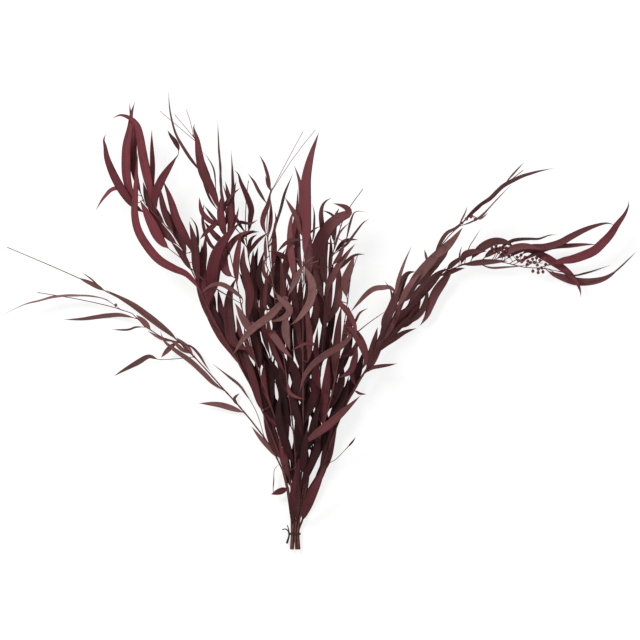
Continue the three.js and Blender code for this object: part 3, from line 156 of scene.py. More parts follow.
# Each leafy stem's place and row at the tie, counted from the middle, and its parts, row by row
# stem: x y z, ... from the tie outwards
# twigs: radius rise x y x y ... from root to tip
# leaves: width seen from above, stalk length, rise of the tip, x y x y ... from root to tip
# buds: x y height above its twig, ...
# fillers: from to count shortest longest spread side, leaves placed by rule on a stretch of the stem;
# side is 1 at its right, -1 at its left and 0 at both
SPRAYS = [
    {"name": "spray_centre", "seat": (-1, 1), "stem": """
1 52 15, 0 127 32, -8 202 54, -18 277 70, -30 352 82, -37 412 88, -42 457 90, -39 502 90, -34 520 90
""", "twigs": """
0.4 12 -36 515 -14 555 12 603
0.4 -8 -36 515 0 568 31 607
0.6 22 -34 420 -54 413 -46 411 -37 396 -32 374 -29 360
""", "leaves": """
11 4 8 -30 366 -22 354 -10 343 -8 334 -18 325 -36 320
12 5 26 -12 356 -22 345 -38 328 -58 313 -77 294 -94 267
12 3 24 -36 303 -30 297 -18 280 -3 265
13 6 14 -15 325 -13 300 -7 277
6 4 20 -14 232 -8 214 3 207 15 204
5 4 6 -36 515 -39 532 -43 547 -47 558 -53 568
4 3 -4 -37 513 -40 523 -44 538
8 6 8 -45 445 -48 465 -46 480 -40 495 -36 517
6 5 -8 -40 442 -36 472 -36 502
4 5 12 -36 438 -33 450 -28 470 -30 485
4 4 -10 -34 432 -27 446
4.5 8 12 -34 430 -29 465 -22 487 -16 510 -10 525 -3 541
5 5 -10 -43 495 -46 502 -55 517 -61 529 -70 541
10 6 10 -18 335 -17 360 -18 385 -21 415
9 6 -14 -12 345 -6 366 4 384 12 402
7 6 12 -44 340 -43 375 -40 402
8 6 -18 -42 425 -32 424 -18 418 4 405
10 8 10 -12 100 -14 150 -9 195 -2 230 2 258
9 8 14 0 100 2 140 5 180 3 215
8 6 -10 -20 262 -18 300 -16 340 -10 380
9 6 6 -14 240 -28 268 -36 292 -40 316 -42 338
9 6 -14 -33 395 -32 415 -31 440 -31 468
5 5 -6 -40 405 -44 425 -44 450
6 6 -4 -36 372 -45 390 -47 402 -46 416
11 4 6 -3 13 -4 34 -3 60 2 100
""", "buds": "", "fillers": """
0.16 0.72 11 80 135 0.14 0
0.2 0.66 3 80 120 0.05 0
"""},
    {"name": "spray_tall_centre", "seat": (0, 1), "stem": """
6 52 17, 12 127 38, 12 202 64, 12 277 84, 12 352 98, 13 405 104, 15 450 106
""", "twigs": "", "leaves": """
17 8 14 11 405 15 427 17 450 16 480 16 510 17 532 20 550 25 570 30 585 36 602
13 2 14 10 405 18 395 26 376 24 352 14 335 3 322 -7 315
8 8 -12 9 455 10 500 8 525 4 540 -1 553
11 8 6 2 380 -4 410 -7 442 -6 470 -1 488
6 4 10 2 442 -12 438 -27 423
8 5 16 9 452 2 476 -7 492 -15 505
2.5 3 14 13 405 22 412 30 418
2.5 3 6 15 404 27 408 37 411
2.5 3 10 10 408 5 412 -1 415
3 5 -10 26 440 29 478 26 495
3 5 -6 20 450 28 457 38 462
5 4 18 30 286 16 287 4 282 -6 276
13 8 66 5 130 20 142 36 155 52 167 66 180 80 193 98 210
12 8 8 5 270 8 300 10 330 8 352
10 8 12 20 262 22 300 18 330 16 350
10 8 -14 12 330 20 360 24 395 20 425
9 8 -12 2 330 -1 365 0 400 2 430
13 7 -18 13 368 20 398 21 430 19 468
9 2 16 11 405 5 390 -3 373 -10 358
10 6 -14 10 390 5 415 4 435 5 470
8 6 -6 6 320 8 350 8 370 10 392
8 6 6 9 60 5 85 5 105 9 125
8 4 10 1 18 4 42 5 68 3 90
""", "buds": "", "fillers": """
0.18 0.76 11 80 130 0.14 0
0.22 0.7 3 80 120 0.05 0
"""},
    {"name": "spray_front_right", "seat": (1, 1), "stem": """
13 52 14, 26 112 26, 45 172 42, 60 232 58, 70 292 70, 79 352 78, 85 397 82, 94 420 84
""", "twigs": "", "leaves": """
11 5 22 84 300 75 289 63 280 45 270 27 256 14 238 7 214
14 6 12 38 160 36 185 33 210 31 240 31 272 34 312
14 6 6 38 158 43 187 46 217 49 245 50 272
14 6 4 24 120 13 150 14 170 17 192 22 226
13 6 8 72 350 75 378 82 399 89 420
9 5 10 66 350 76 338 84 326 90 312 91 296
13 2 8 71 312 84 309 96 294 104 276 106 262 100 248
4 5 -8 88 318 97 333 109 340
1.6 10 12 80 295 93 304 112 319 136 336
12 8 -8 46 215 52 245 55 270 52 300
12 8 6 56 225 62 280 66 320 70 345
10 8 10 68 232 82 245 90 265 92 290
9 8 -10 68 268 80 270 90 280 93 294
10 6 10 16 90 26 115 34 140 38 162
11 5 6 10 31 15 44 22 62 31 80 38 98
12 5 -6 69 286 76 303 82 322 80 343
""", "buds": "", "fillers": """
0.26 0.6 7 75 115 0.11 0
"""},
    {"name": "spray_inner_left", "seat": (-0.5, 0), "stem": """
-4 52 9, -15 127 20, -34 187 36, -55 247 50, -72 307 60, -85 367 68, -97 420 72, -110 470 74
-120 517 76, -142 577 78, -153 600 80
""", "twigs": """
0.4 6 -152 598 -156 618 -162 637
0.4 -6 -150 594 -165 612 -180 630
0.4 10 -148 588 -175 612 -201 634
""", "leaves": """
15 8 10 -71 312 -69 340 -67 362 -73 388 -78 408 -76 435
13 6 26 -66 300 -58 316 -68 312 -78 326 -85 340 -90 348
7 8 26 -75 345 -78 353 -88 363 -99 371 -110 376 -122 375 -133 369 -141 361
14 8 12 -111 480 -120 507 -129 526 -138 546 -143 570 -146 592 -151 609 -149 616
5 6 14 -130 538 -141 546 -154 562 -166 580 -177 600 -183 619 -187 640 -189 663
4 6 -12 -112 483 -124 498 -133 517 -142 547
2.5 6 8 -114 510 -120 544 -130 565 -138 573
8 5 16 -109 476 -120 465 -131 455 -142 443
6 5 -8 -120 430 -131 445 -137 465 -138 480 -136 498
5 5 -14 -108 455 -112 463 -124 478 -136 494
17 8 -10 -68 270 -92 290 -98 315 -100 342 -97 366 -88 386
12 8 8 -50 190 -62 230 -74 270 -84 300
13 8 6 -25 150 -42 190 -47 230 -46 262
14 4 -6 -90 386 -100 392 -106 403 -107 420 -104 448
10 6 10 -100 440 -96 470 -98 500 -104 530
12 6 10 -101 440 -108 463 -111 486 -108 512
8 6 8 -109 462 -126 470 -139 484 -143 506
1.6 8 14 -85 345 -120 370 -142 387 -165 409
9 6 -8 -98 425 -110 440 -122 452 -136 470
8 6 6 -58 255 -68 275 -73 292 -76 312
8 6 4 -8 80 -14 100 -20 125 -24 150
7 6 4 -70 280 -80 298 -84 312 -88 330
10 6 6 -84 372 -88 395 -87 415 -83 440 -81 455
8 6 -6 -104 455 -100 480 -94 505 -88 530
6 4 10 -111 474 -104 494 -93 510 -82 519
5 4 6 -101 438 -96 458 -88 474 -84 492
""", "buds": "", "fillers": """
0.14 0.46 7 80 125 0.13 0
"""},
    {"name": "spray_tall_left", "seat": (-1.5, 0), "stem": """
-6 37 8, -12 75 12, -24 120 18, -41 165 24, -59 207 30, -78 247 36, -100 285 41, -123 325 45
-140 362 48, -155 397 50, -172 435 52, -190 460 53, -214 485 54, -229 502 55, -236 525 56
""", "twigs": "", "leaves": """
13 8 16 -226 484 -246 499 -266 529 -280 561 -284 582 -286 592 -283 601
6 5 -10 -230 508 -268 520 -286 507 -299 487
14 8 8 -238 498 -246 513 -252 535 -253 562 -252 585 -247 610 -245 630 -240 649
14 8 20 -208 484 -214 505 -220 532 -225 555 -229 577 -232 598 -236 613 -246 624 -261 629 -273 624
11 8 -16 -232 500 -241 545 -243 600 -249 648
8 6 -8 -214 488 -215 525 -214 555 -215 585 -215 608
13 2 6 -139 358 -150 378 -164 392 -182 400 -204 413 -222 434 -235 457 -240 482 -239 510 -237 544 -235 574
13 8 12 -206 478 -210 505 -201 530 -190 548 -181 561 -176 569
13 6 8 -155 427 -168 454 -178 475 -184 495 -190 513 -198 532
16 38 12 -152 410 -193 433 -205 448 -214 466 -223 484 -232 502
12 6 -4 -76 248 -92 272 -112 299 -130 331 -141 360
4 6 10 -152 412 -146 440 -148 463 -157 477
12 8 -8 -160 412 -170 440 -186 470 -200 500
13 8 10 -143 372 -148 405 -150 435 -158 470
12 8 -12 -170 432 -188 446 -208 470 -222 500
10 8 12 -178 445 -190 470 -198 495 -203 525
11 8 -10 -190 460 -205 478 -220 500 -228 530
17 3 4 -20 108 -30 134 -37 157 -43 180 -49 200
12 5 8 -63 218 -74 245 -86 272 -100 310 -108 335
10 1 8 -9 69 -18 66 -27 63 -36 60
14 8 12 -126 328 -137 362 -140 395 -136 425 -134 452
12 8 -10 -110 300 -128 330 -142 365 -150 400
9 6 4 -150 392 -162 408 -172 424 -186 440
11 6 6 -96 285 -107 315 -112 342 -116 370
19 8 36 -130 338 -128 355 -124 375 -123 397 -117 421 -106 441 -93 457 -81 469
13 8 26 -128 345 -121 372 -117 400 -106 420 -93 440 -78 452 -60 457
2 26 10 -9 69 -20 66 -30 61 -33 66 -32 80 -31 97 -23 106
7 108 18 -206 478 -210 505 -201 530 -190 548 -181 561 -175 571 -175 580 -180 590 -186 598 -191 607
""", "buds": "", "fillers": """
0.3 0.7 4 80 120 0.11 1
"""},
    {"name": "spray_inner_right", "seat": (0.5, 0), "stem": """
10 52 9, 25 127 18, 34 202 30, 41 277 42, 46 352 52, 53 405 56, 62 442 58, 75 480 60, 87 499 60
102 519 60
""", "twigs": "", "leaves": """
20 8 24 27 405 33 427 42 448 54 465 68 476 80 482 76 491 57 497
8 5 12 43 440 41 460 39 480 41 493 47 501 55 505
4 4 -8 66 462 56 480 41 487
4 6 8 64 418 76 435 84 445 93 457 102 468 111 474
4 6 14 57 420 66 451 81 468
6 6 -6 57 418 72 439 82 443 94 443
10 6 10 45 345 49 372 57 388 64 402 73 415 82 427 91 437
6 6 -10 56 385 76 409 85 417 94 421 105 421
13 8 8 40 300 48 340 52 380 58 410
12 8 -10 45 310 62 345 66 380 64 415
10 8 -6 36 240 40 275 44 310 45 345
9 8 12 60 430 58 455 60 475 66 490
13 7 8 49 368 43 392 43 418 50 446
11 7 -10 46 345 35 378 33 410 40 442
7 5 8 56 400 64 414 70 426 74 440
6 6 6 50 385 53 410 54 430 53 450
3 5 10 76 442 83 468 90 484 105 485
11 6 4 6 34 12 58 16 84 18 110 18 135
""", "buds": "", "fillers": """
0.2 0.7 4 80 125 0.14 0
"""},
    {"name": "spray_upper_right", "seat": (1.5, 0), "stem": """
17 37 8, 34 82 12, 55 142 18, 79 199 26, 105 244 32, 127 292 38, 154 345 43, 187 390 46, 217 432 49
244 462 51, 270 484 52, 307 520 53, 324 532 54, 342 547 55
""", "twigs": """
0.45 10 48 98 62 113 75 124 81 133
""", "leaves": """
16 8 14 160 352 180 382 199 405 217 425 238 449
12 6 -8 150 338 155 362 162 382 170 393 181 395
5 6 12 146 332 153 370 157 387 163 405 169 420 175 433
4 3 10 200 405 197 416 194 428
6 5 12 207 420 225 450 240 460 250 470
8 6 -8 190 388 206 398 216 410 226 422 232 437
11 6 18 206 408 223 427 237 443 251 461
7 5 6 247 463 262 481 277 495 292 505 304 517 315 526 337 537 352 542 367 546 387 550
2.5 5 8 310 523 319 532 327 541 343 559
3.5 5 -6 247 459 262 469 277 477 292 492 307 508 324 525
2.5 4 8 246 463 249 471 255 483 258 493
3 4 -5 268 478 277 474 289 483
8 5 -8 136 315 147 348 143 367
2.5 4 8 148 345 143 368 134 381
9 6 10 122 290 137 320 147 350
8 10 10 156 352 145 370 132 371 118 369 106 360 95 348 83 334
6 5 6 103 240 115 250 127 253 142 255 153 257
4 5 6 82 214 90 216 97 212 107 211
3 4 6 81 132 86 139 91 146
14 2 4 10 17 16 36 24 56 34 78 47 107
17 4 8 36 82 43 102 48 120 52 140 58 165 67 192
9 8 8 112 262 125 285 136 310 150 330
9 8 -8 126 300 133 320 144 345 149 368
10 8 8 150 335 160 352 172 374 190 396
10 6 4 104 245 113 268 119 290 124 312
8 2 4 92 222 86 236 86 256 92 280
7 6 -4 158 345 170 356 178 370 190 384
8 5 -4 172 370 188 380 200 390 214 402
9 4 5 104 240 115 257 124 273 133 291
""", "buds": """
250 468 3, 257 474 5, 264 477 2, 270 473 6
""", "fillers": """
0.24 0.6 2 65 105 0.08 -1
"""},
    {"name": "spray_centre_left", "seat": (0, -1), "stem": """
-2 52 5, -8 127 10, -22 202 18, -40 277 26, -56 345 32, -68 405 36, -74 450 38, -74 495 39, -70 532 40
""", "twigs": "", "leaves": """
5 8 10 -80 440 -96 470 -108 502 -111 525 -112 555 -114 577 -116 621
5 8 -6 -78 450 -90 475 -94 498 -94 532 -96 577
6 6 8 -80 455 -92 480 -98 497 -108 525
9 8 12 -72 445 -69 460 -67 476 -66 490 -73 510 -81 528 -85 541 -91 547
5 5 14 -76 455 -85 469 -67 467 -56 473
6 5 -8 -74 430 -80 446 -68 454 -54 455
6 6 8 -72 418 -67 442 -57 451
6 6 16 -68 415 -66 428 -55 442 -40 454
10 8 12 -12 120 -30 140 -36 175 -37 210 -33 250 -30 275
9 8 8 -34 240 -50 262 -55 290 -60 330 -63 360
9 8 14 -36 260 -46 300 -50 340 -52 380
12 8 10 -54 330 -60 350 -63 390 -63 428
12 10 REST -30 330 -20 380 -8 430 2 480 4 520
12 8 -10 -50 320 -44 360 -30 400 -14 430
9 6 3 -6 62 -10 84 -12 108 -16 132
""", "buds": "", "fillers": """
0.2 0.7 7 80 125 0.15 0
"""},
    {"name": "spray_budded_right", "seat": (1, -1), "stem": """
20 40 3.6, 40 90 5, 59 157 8, 83 210 12, 114 259 15, 144 307 18, 175 352 20, 205 379 22, 235 400 23
262 409 24, 289 414 25, 315 409 25, 337 403 25, 360 400 24, 380 400 22, 405 394 20
""", "twigs": """
0.5 6 296 413 303 424 300 432
0.5 -4 322 407 334 414 345 412
0.5 7 345 402 360 410 372 408
""", "leaves": """
14 10 16 366 404 400 411 417 414 435 420 450 427 462 438 474 451 484 466 495 481 501 495 500 502
11 10 10 312 414 345 430 375 432 397 438 415 448 435 458 454 465 469 468 481 465
8 12 4 330 408 375 428 394 433 412 434 435 436 454 436
12 10 10 330 418 352 427 375 418 390 409 405 399 417 388 426 376 430 364 430 357
12 3 REST 376 398 386 393 402 387 422 381 442 380 460 383 474 389 490 401
2.5 5 4 403 394 420 390 435 393 450 397 474 405
9 6 8 165 338 185 366 198 378 217 394 237 401
14 2 -10 238 401 226 384 212 364 204 345 198 328 188 314
9 6 -6 122 268 135 285 150 295 165 304 183 310
9 6 -6 202 374 196 348 186 330 168 318 147 307
8 6 6 145 312 158 330 168 338 184 348
11 3 8 249 406 255 420 270 425 288 426
2.5 4 4 246 408 248 424 251 433
2 4 8 255 410 262 432 268 442 279 459
13 5 12 262 409 270 421 283 433 297 440 311 441 322 437 330 430
5 8 4 300 412 312 433 324 441 335 444 352 445 367 445 382 450 393 451
9 5 -4 280 412 295 424 307 429 320 432
2.5 5 -4 270 408 292 402 315 402 352 405
9 4 5 248 404 270 408 292 410 320 411
9 6 8 130 282 145 300 163 318 178 334
9 6 -4 160 330 180 350 200 370 216 388 228 403
12 6 4 300 414 318 424 332 431 350 433 372 428
9 6 6 128 285 146 315 158 342 170 362
9 6 -4 140 300 156 318 170 334 186 352
12 8 2 146 308 168 318 182 338 190 356
8 3 4 226 396 234 404 244 412 254 420
7 3 -3 218 389 230 393 243 398 256 401
2.5 90 REST 382 398 402 388 422 381 442 380 460 383 474 389 487 399 500 411 515 426
""", "buds": """
296 431 2, 302 434 5, 308 431 3, 306 424 6, 313 420 3, 318 425 5, 322 418 2, 334 417 5, 340 420 2
346 417 4, 350 411 6, 341 410 7, 349 406 2, 357 414 5, 363 416 2, 368 412 5, 374 414 3, 377 406 5
371 401 2, 364 405 7, 358 396 -3, 366 394 -4, 300 426 4, 311 427 6, 317 431 3, 327 421 4, 336 412 6
344 413 3, 354 409 4, 360 409 6, 366 399 3, 373 395 2
""", "fillers": """
0.12 0.42 3 60 90 0.07 -1
"""},
    {"name": "spray_low_left", "seat": (-1, -1), "stem": """
-7 30 3.4, -11 60 4, -17 90 5, -27 115 6, -43 140 7, -64 168 8, -82 190 9, -105 215 10, -127 240 11
-150 265 12, -175 290 13, -195 307 15, -217 324 17, -247 345 20, -285 366 23, -322 384 26, -367 404 30
-433 432 34
""", "twigs": """
0.6 8 -172 288 -202 297 -225 312 -237 328 -267 340 -322 353 -388 364
""", "leaves": """
7 4 5 -284 366 -306 377 -326 386
10 2 8 -176 291 -188 302 -203 314 -225 331 -247 347 -285 368
2.5 4 5 -290 369 -305 383 -320 394
3.5 10 10 -262 340 -285 353 -307 358 -337 359 -363 357 -382 352 -409 345 -438 331
7 5 REST -236 326 -262 330 -285 329 -300 327 -322 324 -349 323
9 3 5 -215 308 -228 320 -239 330
3.5 5 -4 -224 312 -240 312 -252 308 -276 308
5 4 -4 -180 290 -202 295 -222 306
8 55 2 -152 266 -180 264 -205 263 -220 268 -237 259 -255 249 -273 238
8 4 5 -175 289 -187 282 -202 266
8 4 -4 -150 267 -163 281 -179 296
4 5 -6 -172 289 -157 283 -145 271 -135 255 -127 244
8 2 6 -104 213 -122 227 -140 245 -156 260 -180 277 -196 290 -203 306
9 2 4 -76 182 -94 189 -110 194 -124 196 -145 197
3.5 60 8 -45 145 -55 175 -63 193 -72 208 -82 223 -100 238 -124 256
7 2 -3 -27 115 -38 128 -52 144 -66 162
5 4 -3 -84 190 -92 203 -84 212
6 3 3 -160 268 -170 278 -180 287 -190 292
""", "buds": """
-270 345 3
""", "fillers": ""},
]

# Listed leaves that stand out, by their place in the lists above
DUSTY = {
    "spray_centre": {0: 0.9, 1: 0.85, 2: 0.35, 3: 1.0},
    "spray_tall_centre": {0: 0.2, 1: 1.0, 2: 0.3, 3: 0.3, 6: 0.8, 7: 0.8, 8: 0.8, 18: 0.8, 12: 0.15},
    "spray_inner_left": {1: 0.8, 2: 0.85},
    "spray_front_right": {0: 0.45, 4: 0.5},
    "spray_inner_right": {0: 0.3},
    "spray_budded_right": {0: 0.0, 1: 0.2, 2: 0.3, 3: 0.1, 4: 0.35, 7: 0.3, 14: 0.35, 21: 0.3, 22: 0.3},
    "spray_low_left": {i: 0.9 for i in range(18)},
}
REDDER = {
    "spray_front_right": {1: 0.5, 2: 0.5},
    "spray_tall_centre": {0: 0.8, 2: 0.5, 3: 0.6},
    "spray_inner_left": {3: 0.2},
    "spray_tall_left": {**{i: 0.5 for i in range(10)}, 24: 0.3, 25: 0.2},
    "spray_budded_right": {0: 1.0, 1: 0.4, 2: 0.3, 3: 0.6, 4: 0.2},
    "spray_inner_right": {0: 0.6, 1: 0.4},
    "spray_low_left": {4: 0.4, 8: 0.4},
}
# How dusty the other leaves of a stem are, from where along the bunch on, and over what length that grows
DUSTY_STEMS = {"spray_upper_right": 0.8, "spray_budded_right": 0.35,
               "spray_inner_right": 0.5, "spray_tall_centre": 0.25}
DUST_FROM = 220
DUST_LENGTH = 160

# Painted shade: how much the leaves by the tie are darkened, and how far along the bunch that painted shade
# fades
PAINTED_SHADE_AT_TIE = 0.5
PAINTED_SHADE_REACH = 400

# Painted shade: how dark the filling leaves are painted at the tie, and how much lighter at the far end of
# their stem
FILLER_PAINTED_SHADE = (0.95, 0.5)
FILLER_PAINTED_SHADES = {"spray_upper_right": (1.1, 1.2), "spray_budded_right": (1.1, 1.2)}


def rows(text):
    """Rows of numbers from a text, parted by commas or line ends."""
    return [[REST if word == "REST" else float(word) for word in row.split()]
            for row in text.replace("\n", ",").split(",") if row.strip()]


def seeded_draw(seed):
    """The same draw of numbers each time."""
    state = seed

    def draw(low=0, high=1):
        nonlocal state
        state = (state * DRAW_FACTOR) % DRAW_RANGE
        return between(low, high, state / DRAW_RANGE)

    return draw


def between(first, last, share):
    return first + (last - first) * share


def add(a, b, k):
    return (a[0] + b[0] * k, a[1] + b[1] * k, a[2] + b[2] * k)


def gap(a, b):
    return math.sqrt((a[0] - b[0]) ** 2 + (a[1] - b[1]) ** 2 + (a[2] - b[2]) ** 2)


def limit(value, low, high):
    return min(max(value, low), high)


def smoothstep(t):
    t = np.clip(t, 0, 1)
    return t * t * (3 - 2 * t)


def unit(vectors):
    return vectors / np.linalg.norm(vectors, axis=1, keepdims=True)


def circle(count, first=0.0):
    """Angles spread evenly over a full turn."""
    return 2 * np.pi * (np.arange(count) + first) / count


def smooth(points, steps):
    """Points on a smooth curve through the given ones."""
    last = len(points) - 1
    curve = [tuple(points[0])]
    for i in range(last):
        a, b, c, d = (points[limit(k, 0, last)] for k in (i - 1, i, i + 1, i + 2))
        for step in range(1, steps + 1):
            t = step / steps
            point = []
            for k in range(3):
                slope_in = c[k] - a[k]
                slope_out = d[k] - b[k]
                rest = 3 * (c[k] - b[k]) - slope_in - slope_out * 0.5
                cubic = slope_in * 0.5 + slope_out * 0.5 - 2 * (c[k] - b[k])
                point.append(b[k] + t * (slope_in * 0.5 + t * (rest + t * cubic)))
            curve.append(tuple(point))
    return curve


class Route:
    """Points in a row that can be asked for the place and the directions at any length along them."""

    def __init__(self, points):
        self.points = [tuple(point) for point in points]
        self.reach = [0.0]
        for before, after in zip(self.points, self.points[1:]):
            self.reach.append(self.reach[-1] + gap(after, before))
        self.length = self.reach[-1]
        self.roots = None

    def at(self, s):
        i = limit(bisect_left(self.reach, s), 1, len(self.points) - 1)
        share = (s - self.reach[i - 1]) / (self.reach[i] - self.reach[i - 1])
        a, b = self.points[i - 1], self.points[i]
        return (between(a[0], b[0], share), between(a[1], b[1], share), between(a[2], b[2], share))

    def frame(self, s):
        """Tangent, sideways and upward directions."""
        before = self.at(max(s - FRAME_REACH, 0))
        after = self.at(min(s + FRAME_REACH, self.length))
        size = gap(before, after)
        tangent = tuple((after[k] - before[k]) / size for k in range(3))
        flat = math.sqrt(tangent[0] * tangent[0] + tangent[1] * tangent[1])
        side = (tangent[1] / flat, -tangent[0] / flat, 0.0)
        up = (side[1] * tangent[2], -side[0] * tangent[2], side[0] * tangent[1] - side[1] * tangent[0])
        return tangent, side, up

    def stations(self, lengths):
        """Places, tangents, sideways and upward directions at several lengths, as arrays."""
        return np.array([(self.at(s), *self.frame(s)) for s in np.ravel(lengths)]).transpose(1, 0, 2)

    def stretches(self, step):
        """The same route as straight stretches of about one length."""
        count = max(2, math.floor(self.length / step + 0.5))
        return Route([self.at((self.length * i) / count) for i in range(count + 1)])


def blade_shape(t):
    """Half width of a blade, as a share of its widest, at a share of its length."""
    place = t * (len(BLADE_SHAPE) - 1)
    i = min(math.floor(place), len(BLADE_SHAPE) - 2)
    return between(BLADE_SHAPE[i], BLADE_SHAPE[i + 1], place - i)


def leaf_form(seen, stalk, length, handed):
    """A leaf's width, stalk and turn: one that looks narrow from above is a wider one seen on edge."""
    turned = 0 if handed == 0 else min(WIDEST_TURNED, length * WIDTH_TO_LENGTH)
    width = max(seen, turned)
    lying = seen / width
    return width, stalk, lying, handed * math.sqrt(1 - lying * lying)


def leaf_samples(route, form):
    """Points spread over a leaf, by which its distance to the other leaves is judged."""
    width, stalk, lying, standing = form
    samples = []
    count = math.ceil(route.length / SAMPLE_STEP)
    for i in range(count + 1):
        s = (route.length * i) / count
        if s > ROOT_FREE:
            share = limit((s - stalk) / (route.length - stalk), 0, 1)
            half = max(width * blade_shape(share), STALK_WIDTH * (1 - share)) / 2
            _, side, up = route.frame(s)
            across = add(add((0, 0, 0), side, lying), up, standing)
            centre = route.at(s)
            samples.extend((*add(centre, across, half * k), s) for k in SAMPLES_ACROSS)
    return np.array(samples)


class Piece:
    """A leaf or a branch that is in place, as points and the box round them."""

    def __init__(self, owner, points, is_branch):
        self.owner = owner
        self.points = np.asarray(points, float)[:, :3]
        self.is_branch = is_branch
        self.low = self.points.min(axis=0).tolist()
        self.high = self.points.max(axis=0).tolist()


def crowding(samples, owner, placed):
    """How many points of a new leaf come too near another piece, or the surface."""
    low = (samples[:, :3].min(axis=0) - ROOM).tolist()
    high = (samples[:, :3].max(axis=0) + ROOM).tolist()
    count = int((samples[:, 2] < LOWEST).sum()) * OTHERS_WEIGHT
    for other in placed:
        own = other.owner == owner
        if own and other.is_branch:
            continue
        if any(other.low[k] > high[k] or low[k] > other.high[k] for k in range(3)):
            continue
        judged = samples[samples[:, 3] > OWN_ROOT_FREE] if own else samples
        room = OWN_ROOM if own else ROOM
        apart = judged[:, None, :3] - other.points[None]
        level = apart[:, :, 2] * LEVEL_WEIGHT
        near = apart[:, :, 0] * apart[:, :, 0] + apart[:, :, 1] * apart[:, :, 1] + level * level < room * room
        count += int(near.any(axis=1).sum()) * (1 if own else OTHERS_WEIGHT)
    return count


def nearest_on(branches, x, y):
    """The point of a stem's branches that is nearest in plan to the given one."""
    best, least = None, math.inf
    for branch in branches:
        if branch.roots is None:
            branch.roots = np.array(branch.stretches(ROOT_STEP).points[1:-2])
        from_x = branch.roots[:, 0] - x
        from_y = branch.roots[:, 1] - y
        distances = from_x * from_x + from_y * from_y
        i = int(distances.argmin())
        if distances[i] < least:
            least = distances[i]
            best = branch.roots[i].tolist()
    return best


def route_from(branches, plan, rise, bow=0):
    """A route in space from a plan: it starts on its branch and rises or falls along its length."""
    root = nearest_on(branches, plan[0], plan[1])
    points = [(root[0], root[1], 0.0)]
    for i in range(0, len(plan), 2):
        if i > 0 or len(plan) == 2 or gap(points[0], (plan[0], plan[1], 0)) > ROOT_REACH:
            points.append((plan[i], plan[i + 1], 0.0))
    flat = Route(smooth(points, ROUTE_STEPS))
    raised = []
    for point, reach in zip(flat.points, flat.reach):
        t = reach / flat.length
        if rise == REST:
            settled = min(t / DOWN_BY, 1)
            level = root[2] + (BLADE_THICKNESS / 2 - root[2]) * settled * settled * (3 - 2 * settled)
        else:
            level = root[2] + rise * t * (1 + EARLY_RISE - EARLY_RISE * t) + bow * 4 * t * (1 - t)
        raised.append((point[0], point[1], level))
    return Route(raised)


def clear_leaf(owner, branches, placed, row, handed, lean):
    """The leaf's route whose rise keeps it clear of the other leafy stems, nearest to the wished one.

    lean is 1 where it first tries to pass above them, and -1 where it first tries to pass below."""
    seen, stalk, rise, *plan = row
    tries = [(bow, lift * lean) for bow in BOWS for lift in LIFTS]
    resting = rise == REST
    if resting:
        tries, handed = [(0, 0)], 0
    best = None
    for bow, lift in tries:
        route = route_from(branches, plan, rise + lift, bow)
        form = leaf_form(seen, stalk, route.length, handed)
        samples = leaf_samples(route, form)
        count = 0 if resting else crowding(samples, owner, placed)
        if best is None or count < best["count"]:
            best = {"route": route, "form": form, "samples": samples, "count": count}
        if count == 0:
            return best
    return best


def filler_row(stem, s, side, length, width, rise, spread, bend):
    """A leaf placed by rule: it leaves the stem at one side and bends back along it."""
    root = stem.at(s)
    tangent = stem.frame(s)[0]
    out = (tangent[1] * side, -tangent[0] * side, 0.0)
    row = [width, FILLER_STALK, rise, root[0], root[1]]
    for forward, outward, bent in FILLER_PATH:
        point = add(add(root, tangent, length * forward), out, length * spread * (outward + bend * bent))
        row.extend(point[:2])
    return row


def stem_route(seat, points):
    place, row = seat
    x = place * STEM_PITCH
    z = TWINE_RADIUS * 2 + CLEARANCE + STEM_RADIUS + (row + 1) * ROW_HEIGHT
    fanned = Route(smooth([(x, TIED_TO_Y, z)] + points, ROUTE_STEPS)).stretches(STEM_STEP)
    lean = -CUT_END_LEAN if place < 0 else CUT_END_LEAN
    return Route([(x + lean, CUT_END_Y, z), (x, TIED_FROM_Y, z)] + fanned.points)


def stem_dust(name, y):
    return DUSTY_STEMS.get(name, 0.0) * limit((y - DUST_FROM) / DUST_LENGTH, 0, 1)


